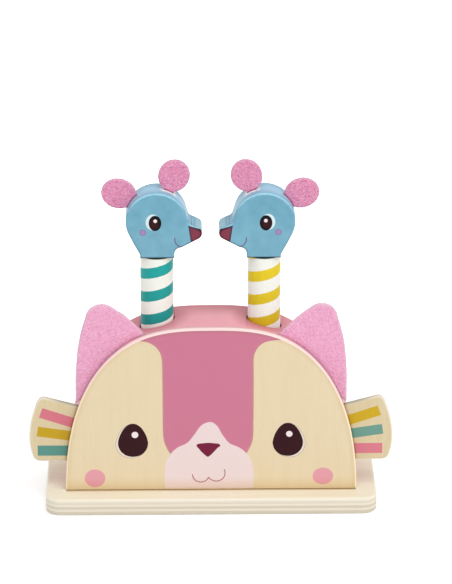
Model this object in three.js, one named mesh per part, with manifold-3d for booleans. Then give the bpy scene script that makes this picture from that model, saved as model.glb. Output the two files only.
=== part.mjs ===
// A wooden pop up toy. A cat's face stands on a base board, and two mice stand in
// holes in the top of its head. A mouse that is pressed down and let go is thrown
// up by a sprung plunger under its peg.
//
// All sizes are in millimetres. The origin is the middle of the base board's
// underside, +Z points up, and the cat looks along -Y.

import * as THREE from "three";
import { mergeVertices } from "three/addons/utils/BufferGeometryUtils.js";
import Module from "manifold-3d";

const wasm = await Module();
wasm.setup();

// Base board, cut from plywood
const boardWidth = 224;
const boardDepth = 78;
const boardThickness = 12;
const boardCornerRadius = 10;
const boardEdgeRadius = 1.6;

// Front panel, the plywood arch that carries the cat's face
const panelWidth = 197;
const panelHeight = 117.5;
const panelThickness = 6;
const panelEdgeRadius = 1.2;

// The arch is a superellipse: one power squares its sides, the other flattens its crown
const archSidePower = 2.93;
const archCrownPower = 2.15;

// Solid block behind the panel, which stands proud of the block by the lip all round
const panelLip = 1;
const blockDepth = 42;
const blockEdgeRadius = 2.2;

// Peg of a mouse, a length of dowel rod, and how deep it stands in its hole at rest
const pegDiameter = 22;
const pegLength = 73;
const pegEdgeRadius = 1.2;
const pegSeatDepth = 24.6;

// Holes in the crown of the block: a guide bore, and below it a wider spring chamber
const holeSpacing = 72;
const guideClearance = 0.8;
const chamberClearance = 1.6;

// Plunger: a flange that stops under the chamber's shoulder, and a spigot in the spring
const flangeDiameter = 28;
const flangeThickness = 6;
const plungerEdgeRadius = 0.8;
const spigotLength = 10;
const spigotTaper = 1.5;

// Compression spring under each plunger
const wireDiameter = 1.3;
const springDiameter = 24;
const springTurns = 9;
const springSeatDepth = 3;
const springClearance = 2;

// Cat ears, cut from thick felt and glued into pockets behind the panel
const catEarThickness = 3;
const catEarWidth = 53;
const catEarHeight = 70.9;
const catEarEdgeRadius = 0.7;
// How far the ear's outer foot stands out of the arch, and at what share of its height
const catEarFootReach = 1.8;
const catEarFootShare = 0.524;
// Outline from that foot, as shares of the ear's width and height
const catEarShares = {
  outerBow: [-0.02, 0.53],
  tipStart: [0.149, 0.865],
  tipCentre: [0.355, 0.846],
  tipRadius: 0.208,
  innerBow: [0.732, 0.84],
  innerFoot: [1, 0.58],
};
// Where the round tip ends, in degrees up from the outer side
const catEarTipTurn = 135;

// Whisker fans, thin plywood plates glued into pockets behind the panel
const fanThickness = 4;
const fanReachLength = 28;
const fanTuckDepth = 16.5;
const fanHeight = 47.4;
const fanFootHeight = 19;
const fanCornerRadius = 6;
const fanEdgeRadius = 0.8;
const fanRimRadius = 90;
const fanRimShare = 0.44;
const fanTopSlopeShare = 0.3;
const fanCornerInsetShare = 0.4;

// Wood screws that hold the block from below
const screwHeadDiameter = 8;
const screwHeadHeight = 2.4;
const screwShankDiameter = 4;
const screwLength = 30;
const screwPointLength = 5;
const screwSinkDepth = 0.5;
const screwInset = 22.5;
const screwPairSpacing = 22;

// Mouse head, sawn from thick board with rounded edges
const headThickness = 22;
const headEdgeRadius = 2;
const craniumRadius = 20.5;
const craniumHeight = 25.8;
const snoutLength = 30.4;
const snoutHeight = 17.5;
const snoutRadius = 4.4;
// How far the throat stands out past the peg
const throatReach = 0.9;
// Points where the head's straights and fillets meet, as shares of the snout's length
const headShares = {
  throatFootHeight: 0.075,
  throat: [0.4, 0.235],
  chin: [0.545, 0.245],
  snoutUnder: [0.902, 0.432],
  snoutTop: [0.905, 0.712],
  bridge: [0.8, 0.762],
  browCorner: [0.712, 0.785],
  brow: [0.69, 0.885],
  nape: [0.497, 0.329],
  napeCorner: [0.4, 0.155],
  napeFoot: [0.362, 0.075],
};

// Dowel pin between peg and head
const pinDiameter = 8;
const pinLength = 24;

// Mouse ears, felt discs that taper to a tab, which is glued into a slit in the head
const earDiameter = 20.2;
const earThickness = 3;
const earEdgeRadius = 0.7;
const earTabWidth = 5;
const earTabDepth = 5.5;
// From the middle of an ear's disc down to its tab
const earTaperLength = 11.8;
// From the cranium's surface to the middle of the disc
const backEarStandOff = 10.1;
const crownEarStandOff = 11.2;
// Where an ear's middle stands from the cranium's, and which way the ear points, in
// degrees from the nose
const earPlaces = {
  back_ear: { direction: 147, lean: 170, standOff: backEarStandOff },
  crown_ear: { direction: 68, lean: 50, standOff: crownEarStandOff },
};

// Gap kept round glued and seated pieces, how far cuts run past a face, and the
// distance at which two points of a mesh are one
const seatGap = 0.15;
const overrun = 1;
const weldDistance = 0.0005;

// Numbers of flats on the curves
const archSteps = 56;
const boreSides = 32;
const pegSides = 32;
const screwSides = 16;
const curlSteps = 8;
const wireSides = 5;
const edgeSteps = 2;
const cornerSteps = 4;
const outlineSteps = 7;

// Sizes that follow from the ones above
const blockHalfWidth = panelWidth / 2 - panelLip;
const blockHeight = panelHeight - panelLip;
const frontY = -(panelThickness + blockDepth) / 2;
const blockFrontY = frontY + panelThickness;
const blockMiddleY = blockFrontY + blockDepth / 2;
const holeX = holeSpacing / 2;
const crownZ = boardThickness + archHeightAt(blockHalfWidth, blockHeight, holeX);
const plungerTopZ = crownZ - pegSeatDepth;
const neckZ = plungerTopZ + pegLength;
const springFootZ = boardThickness - springSeatDepth;
const springTopZ = plungerTopZ - flangeThickness;
const guideRadius = (pegDiameter + guideClearance) / 2;
const chamberRadius = (flangeDiameter + chamberClearance) / 2;

const woodPlain = { roughness: 0.6, metalness: 0 };
const steelPlain = { roughness: 0.35, metalness: 1 };
const finishes = {
  plywood: { color: 0xf0dfc4, ...woodPlain },
  face: { color: 0xe5d3b2, ...woodPlain },
  paintedBlock: { color: 0xe09aa8, roughness: 0.45, metalness: 0 },
  felt: { color: 0xeca5c8, roughness: 0.95, metalness: 0 },
  mouseFelt: { color: 0xe48cb9, roughness: 0.95, metalness: 0 },
  mousePaint: { color: 0x7ab2c8, roughness: 0.45, metalness: 0 },
  tealPeg: { color: 0x2da09b, roughness: 0.45, metalness: 0 },
  yellowPeg: { color: 0xe8d63c, roughness: 0.45, metalness: 0 },
  beech: { color: 0xd9bf95, ...woodPlain },
  steel: { color: 0xb9bcc0, ...steelPlain },
  zinc: { color: 0xc9c4ae, ...steelPlain },
};

// Height of an arch above its foot line at a distance from its middle
function archHeightAt(halfWidth, height, x) {
  const across = Math.abs(x / halfWidth) ** archSidePower;
  return height * (1 - across) ** (1 / archCrownPower);
}

// Half the width of an arch at a height above its foot line
function archHalfWidthAt(halfWidth, height, z) {
  const up = (z / height) ** archCrownPower;
  return halfWidth * (1 - up) ** (1 / archSidePower);
}

// Outline of an arch that stands on the line y = 0
function archShape(halfWidth, height) {
  const points = [];
  for (let step = 0; step <= archSteps; step++) {
    const turn = (Math.PI * step) / archSteps;
    const across = Math.cos(turn);
    const up = Math.max(Math.sin(turn), 0);
    const x = halfWidth * Math.sign(across) * Math.abs(across) ** (2 / archSidePower);
    points.push(new THREE.Vector2(x, height * up ** (2 / archCrownPower)));
  }
  return new THREE.Shape(points);
}

// A closed geometry as a solid that can be cut
function toSolid(geometry) {
  const loose = geometry.index ? geometry.toNonIndexed() : geometry;
  const bare = new THREE.BufferGeometry();
  bare.setAttribute("position", loose.getAttribute("position"));
  const merged = mergeVertices(bare, weldDistance);
  const corners = merged.index.array;
  const triVerts = [];
  for (let i = 0; i < corners.length; i += 3) {
    const [a, b, c] = [corners[i], corners[i + 1], corners[i + 2]];
    if (a !== b && b !== c && c !== a) triVerts.push(a, b, c);
  }
  const mesh = new wasm.Mesh({
    numProp: 3,
    vertProperties: merged.attributes.position.array,
    triVerts: new Uint32Array(triVerts),
  });
  return new wasm.Manifold(mesh);
}

// A solid back as a geometry
function toGeometry(solid) {
  const mesh = solid.getMesh();
  const geometry = new THREE.BufferGeometry();
  geometry.setAttribute("position", new THREE.BufferAttribute(mesh.vertProperties, 3));
  geometry.setIndex(new THREE.BufferAttribute(mesh.triVerts, 1));
  geometry.computeVertexNormals();
  return geometry;
}

// A geometry with others cut away
function cut(geometry, tools) {
  let solid = toSolid(geometry);
  for (const tool of tools) solid = solid.subtract(toSolid(tool));
  return toGeometry(solid);
}

// A flat plate with rounded edges, lying on z = 0
function plate(shape, thickness, edgeRadius, curveSegments) {
  const geometry = new THREE.ExtrudeGeometry(shape, {
    depth: thickness - 2 * edgeRadius,
    bevelEnabled: edgeRadius > 0,
    bevelThickness: edgeRadius,
    bevelSize: edgeRadius,
    bevelOffset: -edgeRadius,
    bevelSegments: edgeSteps,
    curveSegments,
  });
  return geometry.translate(0, 0, edgeRadius);
}

// A plate stood upright, with its outline's y as height and its front at nearY
function upright(geometry, thickness, nearY, footZ) {
  return geometry.rotateX(Math.PI / 2).translate(0, nearY + thickness, footZ);
}

// A turned solid about the Z axis, from [radius, height] pairs
function turned(profile, sides) {
  const points = profile.map(([radius, height]) => new THREE.Vector2(radius, height));
  return new THREE.LatheGeometry(points, sides).rotateX(Math.PI / 2);
}

// A quarter round of profile points about a centre, from one angle to another
function quarterRound(radius, height, edgeRadius, startAngle) {
  const points = [];
  for (let step = 0; step <= edgeSteps; step++) {
    const angle = startAngle + ((Math.PI / 2) * step) / edgeSteps;
    points.push([
      radius + edgeRadius * Math.cos(angle),
      height + edgeRadius * Math.sin(angle),
    ]);
  }
  return points;
}

// A plain round bar from one height to another
function bar(radius, low, high, sides) {
  return turned([[0, low], [radius, low], [radius, high], [0, high]], sides);
}

// The four screws' places on the board, in from the sides of the panel
function screwPlaces() {
  const places = [];
  const rowX = panelWidth / 2 - screwInset;
  for (const x of [-rowX, rowX])
    for (const y of [-screwPairSpacing / 2, screwPairSpacing / 2])
      places.push([x, blockMiddleY + y]);
  return places;
}

function boardShape() {
  const x = boardWidth / 2 - boardCornerRadius;
  const y = boardDepth / 2 - boardCornerRadius;
  const quarter = Math.PI / 2;
  const shape = new THREE.Shape();
  shape.absarc(x, y, boardCornerRadius, 0, quarter);
  shape.absarc(-x, y, boardCornerRadius, quarter, 2 * quarter);
  shape.absarc(-x, -y, boardCornerRadius, 2 * quarter, 3 * quarter);
  shape.absarc(x, -y, boardCornerRadius, 3 * quarter, 4 * quarter);
  return shape;
}

// Board with a seat for each spring in its top and countersunk holes in its underside
function baseBoard() {
  const board = plate(boardShape(), boardThickness, boardEdgeRadius, cornerSteps);
  const tools = [];
  const seatRadius = (springDiameter + springClearance) / 2;
  for (const x of [-holeX, holeX]) {
    const seat = bar(seatRadius, springFootZ, boardThickness + overrun, boreSides);
    tools.push(seat.translate(x, blockMiddleY, 0));
  }
  for (const [x, y] of screwPlaces())
    tools.push(screwHole(boardThickness + overrun).translate(x, y, 0));
  return cut(board, tools);
}

// The space that a screw takes, from below the board up to a height
function screwHole(topZ) {
  const headRadius = screwHeadDiameter / 2 + seatGap;
  const shankRadius = screwShankDiameter / 2 + seatGap;
  const profile = [
    [0, -overrun],
    [headRadius, -overrun],
    [headRadius, screwSinkDepth],
    [shankRadius, screwSinkDepth + screwHeadHeight],
    [shankRadius, topZ],
    [0, topZ],
  ];
  return turned(profile, screwSides);
}

function screw() {
  const tipZ = screwSinkDepth + screwLength;
  const profile = [
    [0, screwSinkDepth],
    [screwHeadDiameter / 2, screwSinkDepth],
    [screwShankDiameter / 2, screwSinkDepth + screwHeadHeight],
    [screwShankDiameter / 2, tipZ - screwPointLength],
    [0, tipZ],
  ];
  return turned(profile, screwSides);
}

// Block behind the panel: its back edge is rounded, its front edge is square to the
// panel. Each hole is a guide bore that opens into a wider chamber, and the step
// between them is the plunger's stop.
function catBlock() {
  const length = blockDepth + blockEdgeRadius;
  const arch = plate(archShape(blockHalfWidth, blockHeight), length, blockEdgeRadius, 1);
  const block = upright(arch, length, blockFrontY - blockEdgeRadius, boardThickness);
  const front = new THREE.BoxGeometry(panelWidth, blockEdgeRadius, 2 * panelHeight);
  const frontMiddleY = blockFrontY - blockEdgeRadius / 2;
  const tools = [front.translate(0, frontMiddleY, boardThickness + panelHeight)];
  tools.push(foot());
  for (const x of [-holeX, holeX]) {
    const guide = bar(guideRadius, plungerTopZ - overrun, crownZ + guideRadius, boreSides);
    const chamber = bar(chamberRadius, boardThickness - overrun, plungerTopZ, boreSides);
    tools.push(guide.translate(x, blockMiddleY, 0));
    tools.push(chamber.translate(x, blockMiddleY, 0));
  }
  const screwTopZ = screwSinkDepth + screwLength + seatGap;
  for (const [x, y] of screwPlaces())
    tools.push(screwHole(screwTopZ).translate(x, y, 0));
  for (const side of [-1, 1]) {
    tools.push(pocket(catEarShape(side, seatGap), catEarThickness + seatGap));
    tools.push(pocket(fanShape(side, seatGap), fanThickness + seatGap));
  }
  return cut(block, tools);
}

// What the rounding leaves uneven under the block is trimmed flat
function foot() {
  const slab = new THREE.BoxGeometry(panelWidth, 2 * blockDepth, overrun);
  return slab.translate(0, blockMiddleY, boardThickness - overrun / 2);
}

// A pocket of an outline, milled to a depth into the block's front
function pocket(shape, depth) {
  const tool = plate(shape, depth + overrun, 0, outlineSteps);
  return upright(tool, depth + overrun, blockFrontY - overrun, boardThickness);
}

function frontPanel() {
  const arch = archShape(panelWidth / 2, panelHeight);
  const panel = plate(arch, panelThickness, panelEdgeRadius, 1);
  return upright(panel, panelThickness, frontY, boardThickness);
}

// Cat ear: an outer side that bows gently, a round tip and an inner side that runs
// down behind the panel. The outline is larger by grow where a pocket is cut for it.
function catEarShape(side, grow) {
  const footZ = catEarFootShare * panelHeight;
  const footX = archHalfWidthAt(panelWidth / 2, panelHeight, footZ) + catEarFootReach;
  const width = catEarWidth;
  const height = catEarHeight;
  const place = ([across, up]) => [footX - across * width, footZ + up * height];
  const [bowX, bowZ] = place(catEarShares.outerBow);
  const [startX, startZ] = place(catEarShares.tipStart);
  const [tipX, tipZ] = place(catEarShares.tipCentre);
  const [innerBowX, innerBowZ] = place(catEarShares.innerBow);
  const [innerX, innerZ] = place(catEarShares.innerFoot);
  const radius = catEarShares.tipRadius * width + grow;
  const startAngle = Math.atan2(startZ - tipZ, startX - tipX);
  const endAngle = THREE.MathUtils.degToRad(catEarTipTurn);
  const shape = new THREE.Shape();
  shape.moveTo(side * (footX + grow), footZ - grow);
  shape.quadraticCurveTo(
    side * (bowX + grow), bowZ,
    side * (tipX + radius * Math.cos(startAngle)), tipZ + radius * Math.sin(startAngle),
  );
  for (let step = 1; step <= outlineSteps; step++) {
    const angle = startAngle + ((endAngle - startAngle) * step) / outlineSteps;
    shape.lineTo(side * (tipX + radius * Math.cos(angle)), tipZ + radius * Math.sin(angle));
  }
  shape.quadraticCurveTo(
    side * (innerBowX - grow), innerBowZ + grow,
    side * (innerX - grow), innerZ - grow,
  );
  return shape;
}

function catEar(side) {
  const ear = plate(catEarShape(side, 0), catEarThickness, catEarEdgeRadius, outlineSteps);
  return upright(ear, catEarThickness, blockFrontY, boardThickness);
}

// Whisker fan: level below, sloping above, with a round rim and round corners
function fanShape(side, grow) {
  const panelX = archHalfWidthAt(panelWidth / 2, panelHeight, fanFootHeight + fanHeight / 2);
  const rimX = panelX + fanReachLength + grow;
  const innerX = panelX - fanTuckDepth - grow;
  const footZ = fanFootHeight - grow;
  const topZ = fanFootHeight + fanHeight + grow;
  const rimZ = footZ + fanRimShare * (topZ - footZ);
  const rim = fanRimRadius + grow;
  const rimXAt = (z) => rimX - rim + Math.sqrt(rim ** 2 - (z - rimZ) ** 2);
  const corner = fanCornerRadius;
  const inset = fanCornerInsetShare * corner;
  const slope = fanTopSlopeShare;
  const footRimX = rimXAt(footZ + corner);
  const topRimX = rimXAt(topZ - corner) - inset;
  const shape = new THREE.Shape();
  shape.moveTo(side * innerX, footZ);
  shape.lineTo(side * (footRimX - corner), footZ);
  shape.quadraticCurveTo(side * (footRimX - inset / 2), footZ, side * footRimX, footZ + corner);
  shape.quadraticCurveTo(
    side * (2 * rimX - (footRimX + topRimX) / 2), rimZ,
    side * topRimX, topZ - corner,
  );
  const shoulderX = topRimX - corner;
  shape.quadraticCurveTo(side * (topRimX - inset), topZ, side * shoulderX, topZ - inset / 2);
  shape.lineTo(side * innerX, topZ - inset / 2 - slope * (shoulderX - innerX));
  return shape;
}

function whiskerFan(side) {
  const fan = plate(fanShape(side, 0), fanThickness, fanEdgeRadius, outlineSteps);
  return upright(fan, fanThickness, blockFrontY, boardThickness);
}

// Angle on a circle round a height where a straight from a point outside touches it
function touchAngle([x, z], middleZ, radius) {
  const rise = z - middleZ;
  return Math.atan2(rise, x) + Math.acos(Math.min(radius / Math.hypot(x, rise), 1));
}

// Mouse head in profile, nose towards +X, standing on its neck at the origin
function headShape() {
  const place = ([across, up]) => [across * snoutLength, up * snoutLength];
  const neckX = pegDiameter / 2;
  const throatX = neckX + throatReach;
  const throatFootZ = headShares.throatFootHeight * snoutLength;
  const tipX = snoutLength - snoutRadius;
  const [underX, underZ] = place(headShares.snoutUnder);
  const [topX, topZ] = place(headShares.snoutTop);
  const tipStart = Math.atan2(underZ - snoutHeight, underX - tipX);
  const tipEnd = Math.atan2(topZ - snoutHeight, topX - tipX);
  const brow = place(headShares.brow);
  const [napeX, napeZ] = place(headShares.nape);
  const browAngle = touchAngle(brow, craniumHeight, craniumRadius);
  const napeAngle = Math.PI - touchAngle([napeX, napeZ], craniumHeight, craniumRadius);
  const [napeCornerX, napeCornerZ] = place(headShares.napeCorner);
  const [napeFootX, napeFootZ] = place(headShares.napeFoot);
  const shape = new THREE.Shape();
  shape.moveTo(throatX, 0);
  shape.lineTo(throatX, throatFootZ);
  shape.quadraticCurveTo(...place(headShares.throat), ...place(headShares.chin));
  shape.absarc(tipX, snoutHeight, snoutRadius, tipStart, tipEnd);
  shape.lineTo(...place(headShares.bridge));
  shape.quadraticCurveTo(...place(headShares.browCorner), ...brow);
  shape.absarc(0, craniumHeight, craniumRadius, browAngle, napeAngle);
  shape.lineTo(-napeX, napeZ);
  shape.quadraticCurveTo(-napeCornerX, napeCornerZ, -napeFootX, napeFootZ);
  shape.lineTo(-neckX, 0);
  return shape;
}

// Head with a slit for each ear and a blind hole for the pin
function mouseHead() {
  const outline = plate(headShape(), headThickness, headEdgeRadius, outlineSteps);
  const head = upright(outline, headThickness, -headThickness / 2, 0);
  const pinHole = bar(
    pinDiameter / 2 + seatGap, -overrun, pinLength / 2 + seatGap, screwSides,
  );
  const tools = [pinHole];
  const slitThickness = earThickness + 2 * seatGap;
  for (const place of Object.values(earPlaces)) {
    const slit = plate(earShape(seatGap), slitThickness, 0, outlineSteps);
    tools.push(placedEar(upright(slit, slitThickness, -slitThickness / 2, 0), place));
  }
  return cut(head, tools);
}

// Something made about the middle of an ear's disc, moved to where the ear stands
function placedEar(geometry, { direction, lean, standOff }) {
  const around = THREE.MathUtils.degToRad(direction);
  const away = craniumRadius + standOff;
  const turn = THREE.MathUtils.degToRad(90 - lean);
  const x = away * Math.cos(around);
  return geometry.rotateY(turn).translate(x, 0, craniumHeight + away * Math.sin(around));
}

// Ear outline: a disc whose sides run down in straights to a tab, larger by grow where
// a slit is cut for it
function earShape(grow) {
  const radius = earDiameter / 2 + grow;
  const tabX = earTabWidth / 2 + grow;
  const start = touchAngle([tabX, -earTaperLength], 0, radius);
  const tabZ = -earTaperLength - earTabDepth - grow;
  const shape = new THREE.Shape();
  shape.moveTo(tabX, tabZ);
  shape.lineTo(tabX, -earTaperLength);
  shape.absarc(0, 0, radius, start, Math.PI - start);
  shape.lineTo(-tabX, -earTaperLength);
  shape.lineTo(-tabX, tabZ);
  return shape;
}

function mouseEar(place) {
  const ear = plate(earShape(0), earThickness, earEdgeRadius, outlineSteps);
  return placedEar(upright(ear, earThickness, -earThickness / 2, 0), place);
}

// Peg below the neck, with a blind hole for the pin in its top
function mousePeg() {
  const radius = pegDiameter / 2;
  const holeRadius = pinDiameter / 2 + seatGap;
  const edge = pegEdgeRadius;
  const lower = quarterRound(radius - edge, edge - pegLength, edge, -Math.PI / 2);
  const upper = quarterRound(radius - edge / 2, -edge / 2, edge / 2, 0);
  const holeFoot = -pinLength / 2 - seatGap;
  return turned(
    [[0, -pegLength], ...lower, ...upper, [holeRadius, 0], [holeRadius, holeFoot], [0, holeFoot]],
    pegSides,
  );
}

function neckPin() {
  return bar(pinDiameter / 2, -pinLength / 2, pinLength / 2, screwSides);
}

// Plunger with its top face at z = 0
function plunger() {
  const flangeRadius = flangeDiameter / 2;
  const edge = plungerEdgeRadius;
  const spigotRadius = (springDiameter - springClearance) / 2 - wireDiameter;
  const spigotFoot = -flangeThickness - spigotLength;
  const profile = [
    [0, spigotFoot],
    [spigotRadius - spigotTaper, spigotFoot],
    [spigotRadius, spigotFoot + spigotTaper],
    [spigotRadius, -flangeThickness],
    ...quarterRound(flangeRadius - edge, edge - flangeThickness, edge, -Math.PI / 2),
    ...quarterRound(flangeRadius - edge, -edge, edge, 0),
    [0, 0],
  ];
  return turned(profile, pegSides);
}

// Middle line of the spring: it stands up out of its seat, leans over into the helix
// and stands up again under the plunger
function springPath() {
  const radius = (springDiameter - wireDiameter) / 2;
  const lean = wireDiameter / radius;
  const low = springFootZ + 2 * wireDiameter;
  const high = springTopZ - 2 * wireDiameter;
  const turn = 2 * Math.PI * springTurns;
  const at = (angle, z) =>
    new THREE.Vector3(radius * Math.cos(angle), radius * Math.sin(angle), z);
  const path = [at(-lean, springFootZ), at(-lean, springFootZ + wireDiameter)];
  const count = springTurns * curlSteps;
  for (let step = 0; step <= count; step++) {
    const share = step / count;
    path.push(at(turn * share, low + (high - low) * share));
  }
  path.push(at(turn + lean, springTopZ - wireDiameter), at(turn + lean, springTopZ));
  return path;
}

// Least gap between one turn of the wire and the next, at rest
function leastSpringGap(path) {
  let least = Infinity;
  for (let i = 0; i < path.length; i++)
    for (let j = i + Math.ceil(curlSteps / 2); j < path.length; j++)
      least = Math.min(least, path[i].distanceTo(path[j]) - wireDiameter);
  return least;
}

// One unbroken wire along the path, its rings turned as little as possible
function spring() {
  const path = springPath();
  console.log("least gap in a spring, mm:", leastSpringGap(path).toFixed(2));
  const positions = [];
  const index = [];
  let side = new THREE.Vector3(1, 0, 0);
  path.forEach((point, i) => {
    const before = path[Math.max(i - 1, 0)];
    const after = path[Math.min(i + 1, path.length - 1)];
    const along = after.clone().sub(point).normalize();
    const from = point.clone().sub(before).normalize();
    const tangent = along.add(from).normalize();
    side = side.clone().addScaledVector(tangent, -side.dot(tangent)).normalize();
    const up = tangent.clone().cross(side);
    for (let k = 0; k < wireSides; k++) {
      const angle = (2 * Math.PI * k) / wireSides;
      const corner = point.clone();
      corner.addScaledVector(side, (wireDiameter / 2) * Math.cos(angle));
      corner.addScaledVector(up, (wireDiameter / 2) * Math.sin(angle));
      positions.push(...corner.toArray());
    }
  });
  for (let i = 0; i + 1 < path.length; i++)
    for (let k = 0; k < wireSides; k++) {
      const next = (k + 1) % wireSides;
      const [a, b] = [i * wireSides + k, i * wireSides + next];
      index.push(a, b, b + wireSides, a, b + wireSides, a + wireSides);
    }
  const last = (path.length - 1) * wireSides;
  for (let k = 1; k + 1 < wireSides; k++) {
    index.push(0, k + 1, k);
    index.push(last, last + k, last + k + 1);
  }
  const geometry = new THREE.BufferGeometry();
  geometry.setAttribute("position", new THREE.Float32BufferAttribute(positions, 3));
  geometry.setIndex(index);
  geometry.computeVertexNormals();
  return geometry;
}

function piece(name, geometry, finish) {
  const mesh = new THREE.Mesh(geometry, new THREE.MeshStandardMaterial(finish));
  mesh.name = name;
  return mesh;
}

// Head, ears, pin and peg of a mouse, about the middle of its neck
function mouse(name, pegFinish) {
  const group = new THREE.Group();
  group.add(piece(name + "_mouse_head", mouseHead(), finishes.mousePaint));
  group.add(piece(name + "_mouse_peg", mousePeg(), pegFinish));
  group.add(piece(name + "_mouse_neck_pin", neckPin(), finishes.beech));
  for (const [ear, place] of Object.entries(earPlaces))
    group.add(piece(name + "_mouse_" + ear, mouseEar(place), finishes.mouseFelt));
  return group;
}

// Everything about one hole: plunger, spring and the mouse that stands on the plunger
function popper(name, x, turn, pegFinish) {
  const group = new THREE.Group();
  group.position.set(x, blockMiddleY, 0);
  group.add(piece(name + "_spring", spring(), finishes.steel));
  const push = piece(name + "_plunger", plunger(), finishes.beech);
  push.position.z = plungerTopZ;
  const figure = mouse(name, pegFinish);
  figure.position.z = neckZ;
  figure.rotation.z = turn;
  group.add(push, figure);
  return group;
}

function cat() {
  const group = new THREE.Group();
  group.add(piece("base_board", baseBoard(), finishes.plywood));
  group.add(piece("cat_block", catBlock(), finishes.paintedBlock));
  group.add(piece("front_panel", frontPanel(), finishes.face));
  for (const [name, side] of [["left", -1], ["right", 1]]) {
    group.add(piece(name + "_cat_ear", catEar(side), finishes.felt));
    group.add(piece(name + "_whisker_fan", whiskerFan(side), finishes.plywood));
  }
  screwPlaces().forEach(([x, y], i) => {
    const fastener = piece("base_screw_" + (i + 1), screw(), finishes.zinc);
    fastener.position.set(x, y, 0);
    group.add(fastener);
  });
  return group;
}

const toy = new THREE.Group();
toy.name = "pop_up_animal_toy";
toy.add(cat());
toy.add(popper("left", -holeX, 0, finishes.tealPeg));
toy.add(popper("right", holeX, Math.PI, finishes.yellowPeg));

export default toy;
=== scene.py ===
import math
import random

import bmesh
import bpy
from mathutils import Matrix, Vector, noise


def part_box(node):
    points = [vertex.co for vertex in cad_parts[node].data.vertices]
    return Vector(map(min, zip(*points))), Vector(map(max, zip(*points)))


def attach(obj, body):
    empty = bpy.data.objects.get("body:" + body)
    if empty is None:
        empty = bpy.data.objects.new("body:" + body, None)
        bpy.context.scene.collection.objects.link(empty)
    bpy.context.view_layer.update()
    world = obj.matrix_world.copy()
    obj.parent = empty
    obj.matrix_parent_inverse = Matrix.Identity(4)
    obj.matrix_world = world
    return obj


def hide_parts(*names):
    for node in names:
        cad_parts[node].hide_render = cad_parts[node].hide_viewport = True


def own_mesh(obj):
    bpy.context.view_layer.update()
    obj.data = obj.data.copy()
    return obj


# A wooden pop up toy: a cat's face on a base board, and two mice on striped pegs.
# Sizes are in millimetres and are turned into metres where a mesh is made.
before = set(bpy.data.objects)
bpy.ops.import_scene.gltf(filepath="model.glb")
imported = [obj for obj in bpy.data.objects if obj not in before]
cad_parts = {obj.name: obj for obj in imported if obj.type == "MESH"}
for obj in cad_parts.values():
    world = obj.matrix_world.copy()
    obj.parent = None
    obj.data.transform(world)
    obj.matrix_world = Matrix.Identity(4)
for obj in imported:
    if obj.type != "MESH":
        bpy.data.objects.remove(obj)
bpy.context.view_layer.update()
mm = 0.001
sides = {"left": -1, "right": 1}
print("frame loaded:", len(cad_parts), "nodes")


# Gives a node its inputs, in their order or by name. An input is a value, a socket, or a
# node, whose first output in use is taken.
def plug(node, inputs):
    usable = [socket for socket in node.inputs if socket.enabled]
    for key, value in inputs.items() if isinstance(inputs, dict) else enumerate(inputs):
        socket = usable[key] if isinstance(key, int) else next(s for s in usable if s.name == key)
        if isinstance(value, bpy.types.Node):
            value = next(out for out in value.outputs if out.enabled)
        if isinstance(value, bpy.types.NodeSocket):
            node.id_data.links.new(value, socket)
        else:
            socket.default_value = value


# What adds one shader node to a node tree, from its kind, its inputs, its operation if it has
# one, and its settings. A MapRange lists a value, the range it comes from and where it goes to.
def adder(tree):
    def add(kind, inputs=(), operation=None, **settings):
        made = tree.nodes.new("ShaderNode" + kind)
        if operation:
            made.operation = operation
        for name, value in settings.items():
            setattr(made, name, value)
        plug(made, inputs)
        return made

    return add


def linear(hexColour):
    channels = [int(hexColour[i : i + 2], 16) / 255 for i in (1, 3, 5)]
    return [c / 12.92 if c < 0.04045 else ((c + 0.055) / 1.055) ** 2.4 for c in channels] + [1]


# A new material, what adds its nodes, and the place of a point of the surface
def newMaterial(name):
    material = bpy.data.materials.new(name)
    material.use_nodes = True
    add = adder(material.node_tree)
    return material, add, add("TexCoord").outputs["Object"]


# Where several masks hold at once. A number among them is a strength, and a list is what a
# MapRange takes.
def allOf(add, *masks):
    first, *others = [add("MapRange", mask) if isinstance(mask, list) else mask for mask in masks]
    for other in others:
        first = add("Math", [first, other], "MULTIPLY")
    return first


# A colour under further coats. Each coat has its tint and the masks that limit it: "cover"
# hides what is under it, and "glaze" darkens it.
def coats(add, colour, *layers):
    blends = {"cover": "MIX", "glaze": "MULTIPLY"}
    for kind, tint, *masks in layers:
        under, over = [linear(c) if isinstance(c, str) else c for c in (colour, tint)]
        colour = add("Mix", [allOf(add, *masks), under, over], data_type="RGBA", blend_type=blends[kind])
    return colour


def setShader(material, inputs):
    plug(material.node_tree.nodes["Principled BSDF"], inputs)
    return material


# Gives a material its colour, its relief in millimetres and its shader's other inputs
def finish(material, add, colour, height, depth, strength, inputs):
    relief = add("Bump", {"Height": height, "Distance": depth * mm, "Strength": strength})
    return setShader(material, {"Base Color": colour, "Normal": relief} | inputs)


# Coordinates in millimetres from an origin, turned with it, and their x, y and z
def measured(add, place, origin, turn=(0, 0, 0)):
    local = add("Mapping", {"Vector": place, "Location": [v * mm for v in origin], "Rotation": turn,
                            "Scale": (mm, mm, mm)}, vector_type="TEXTURE")
    return local, add("SeparateXYZ", [local]).outputs


# Which way the surface faces
def facingParts(add):
    return add("SeparateXYZ", [add("TexCoord").outputs["Normal"]]).outputs


# Where a point lies across a flat sheet's rounded edge: 0 on the flats, 1 half way round
def roundedEdge(add, axis="Y"):
    facing = facingParts(add)[axis]
    square = add("Math", [facing, facing], "MULTIPLY")
    rest = add("Math", [1.0, square], "SUBTRACT")
    return allOf(add, square, rest, 4.0)


# Noise whose cells are so many millimetres long along one axis and wide across it
def streaks(add, place, along, length, width, detail=2.0):
    cell = [width * mm] * 3
    cell[along] = length * mm
    spot = add("Mapping", {"Vector": place, "Scale": cell}, vector_type="TEXTURE")
    return add("TexNoise", [spot, 1.0, detail, 0.55])


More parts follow.
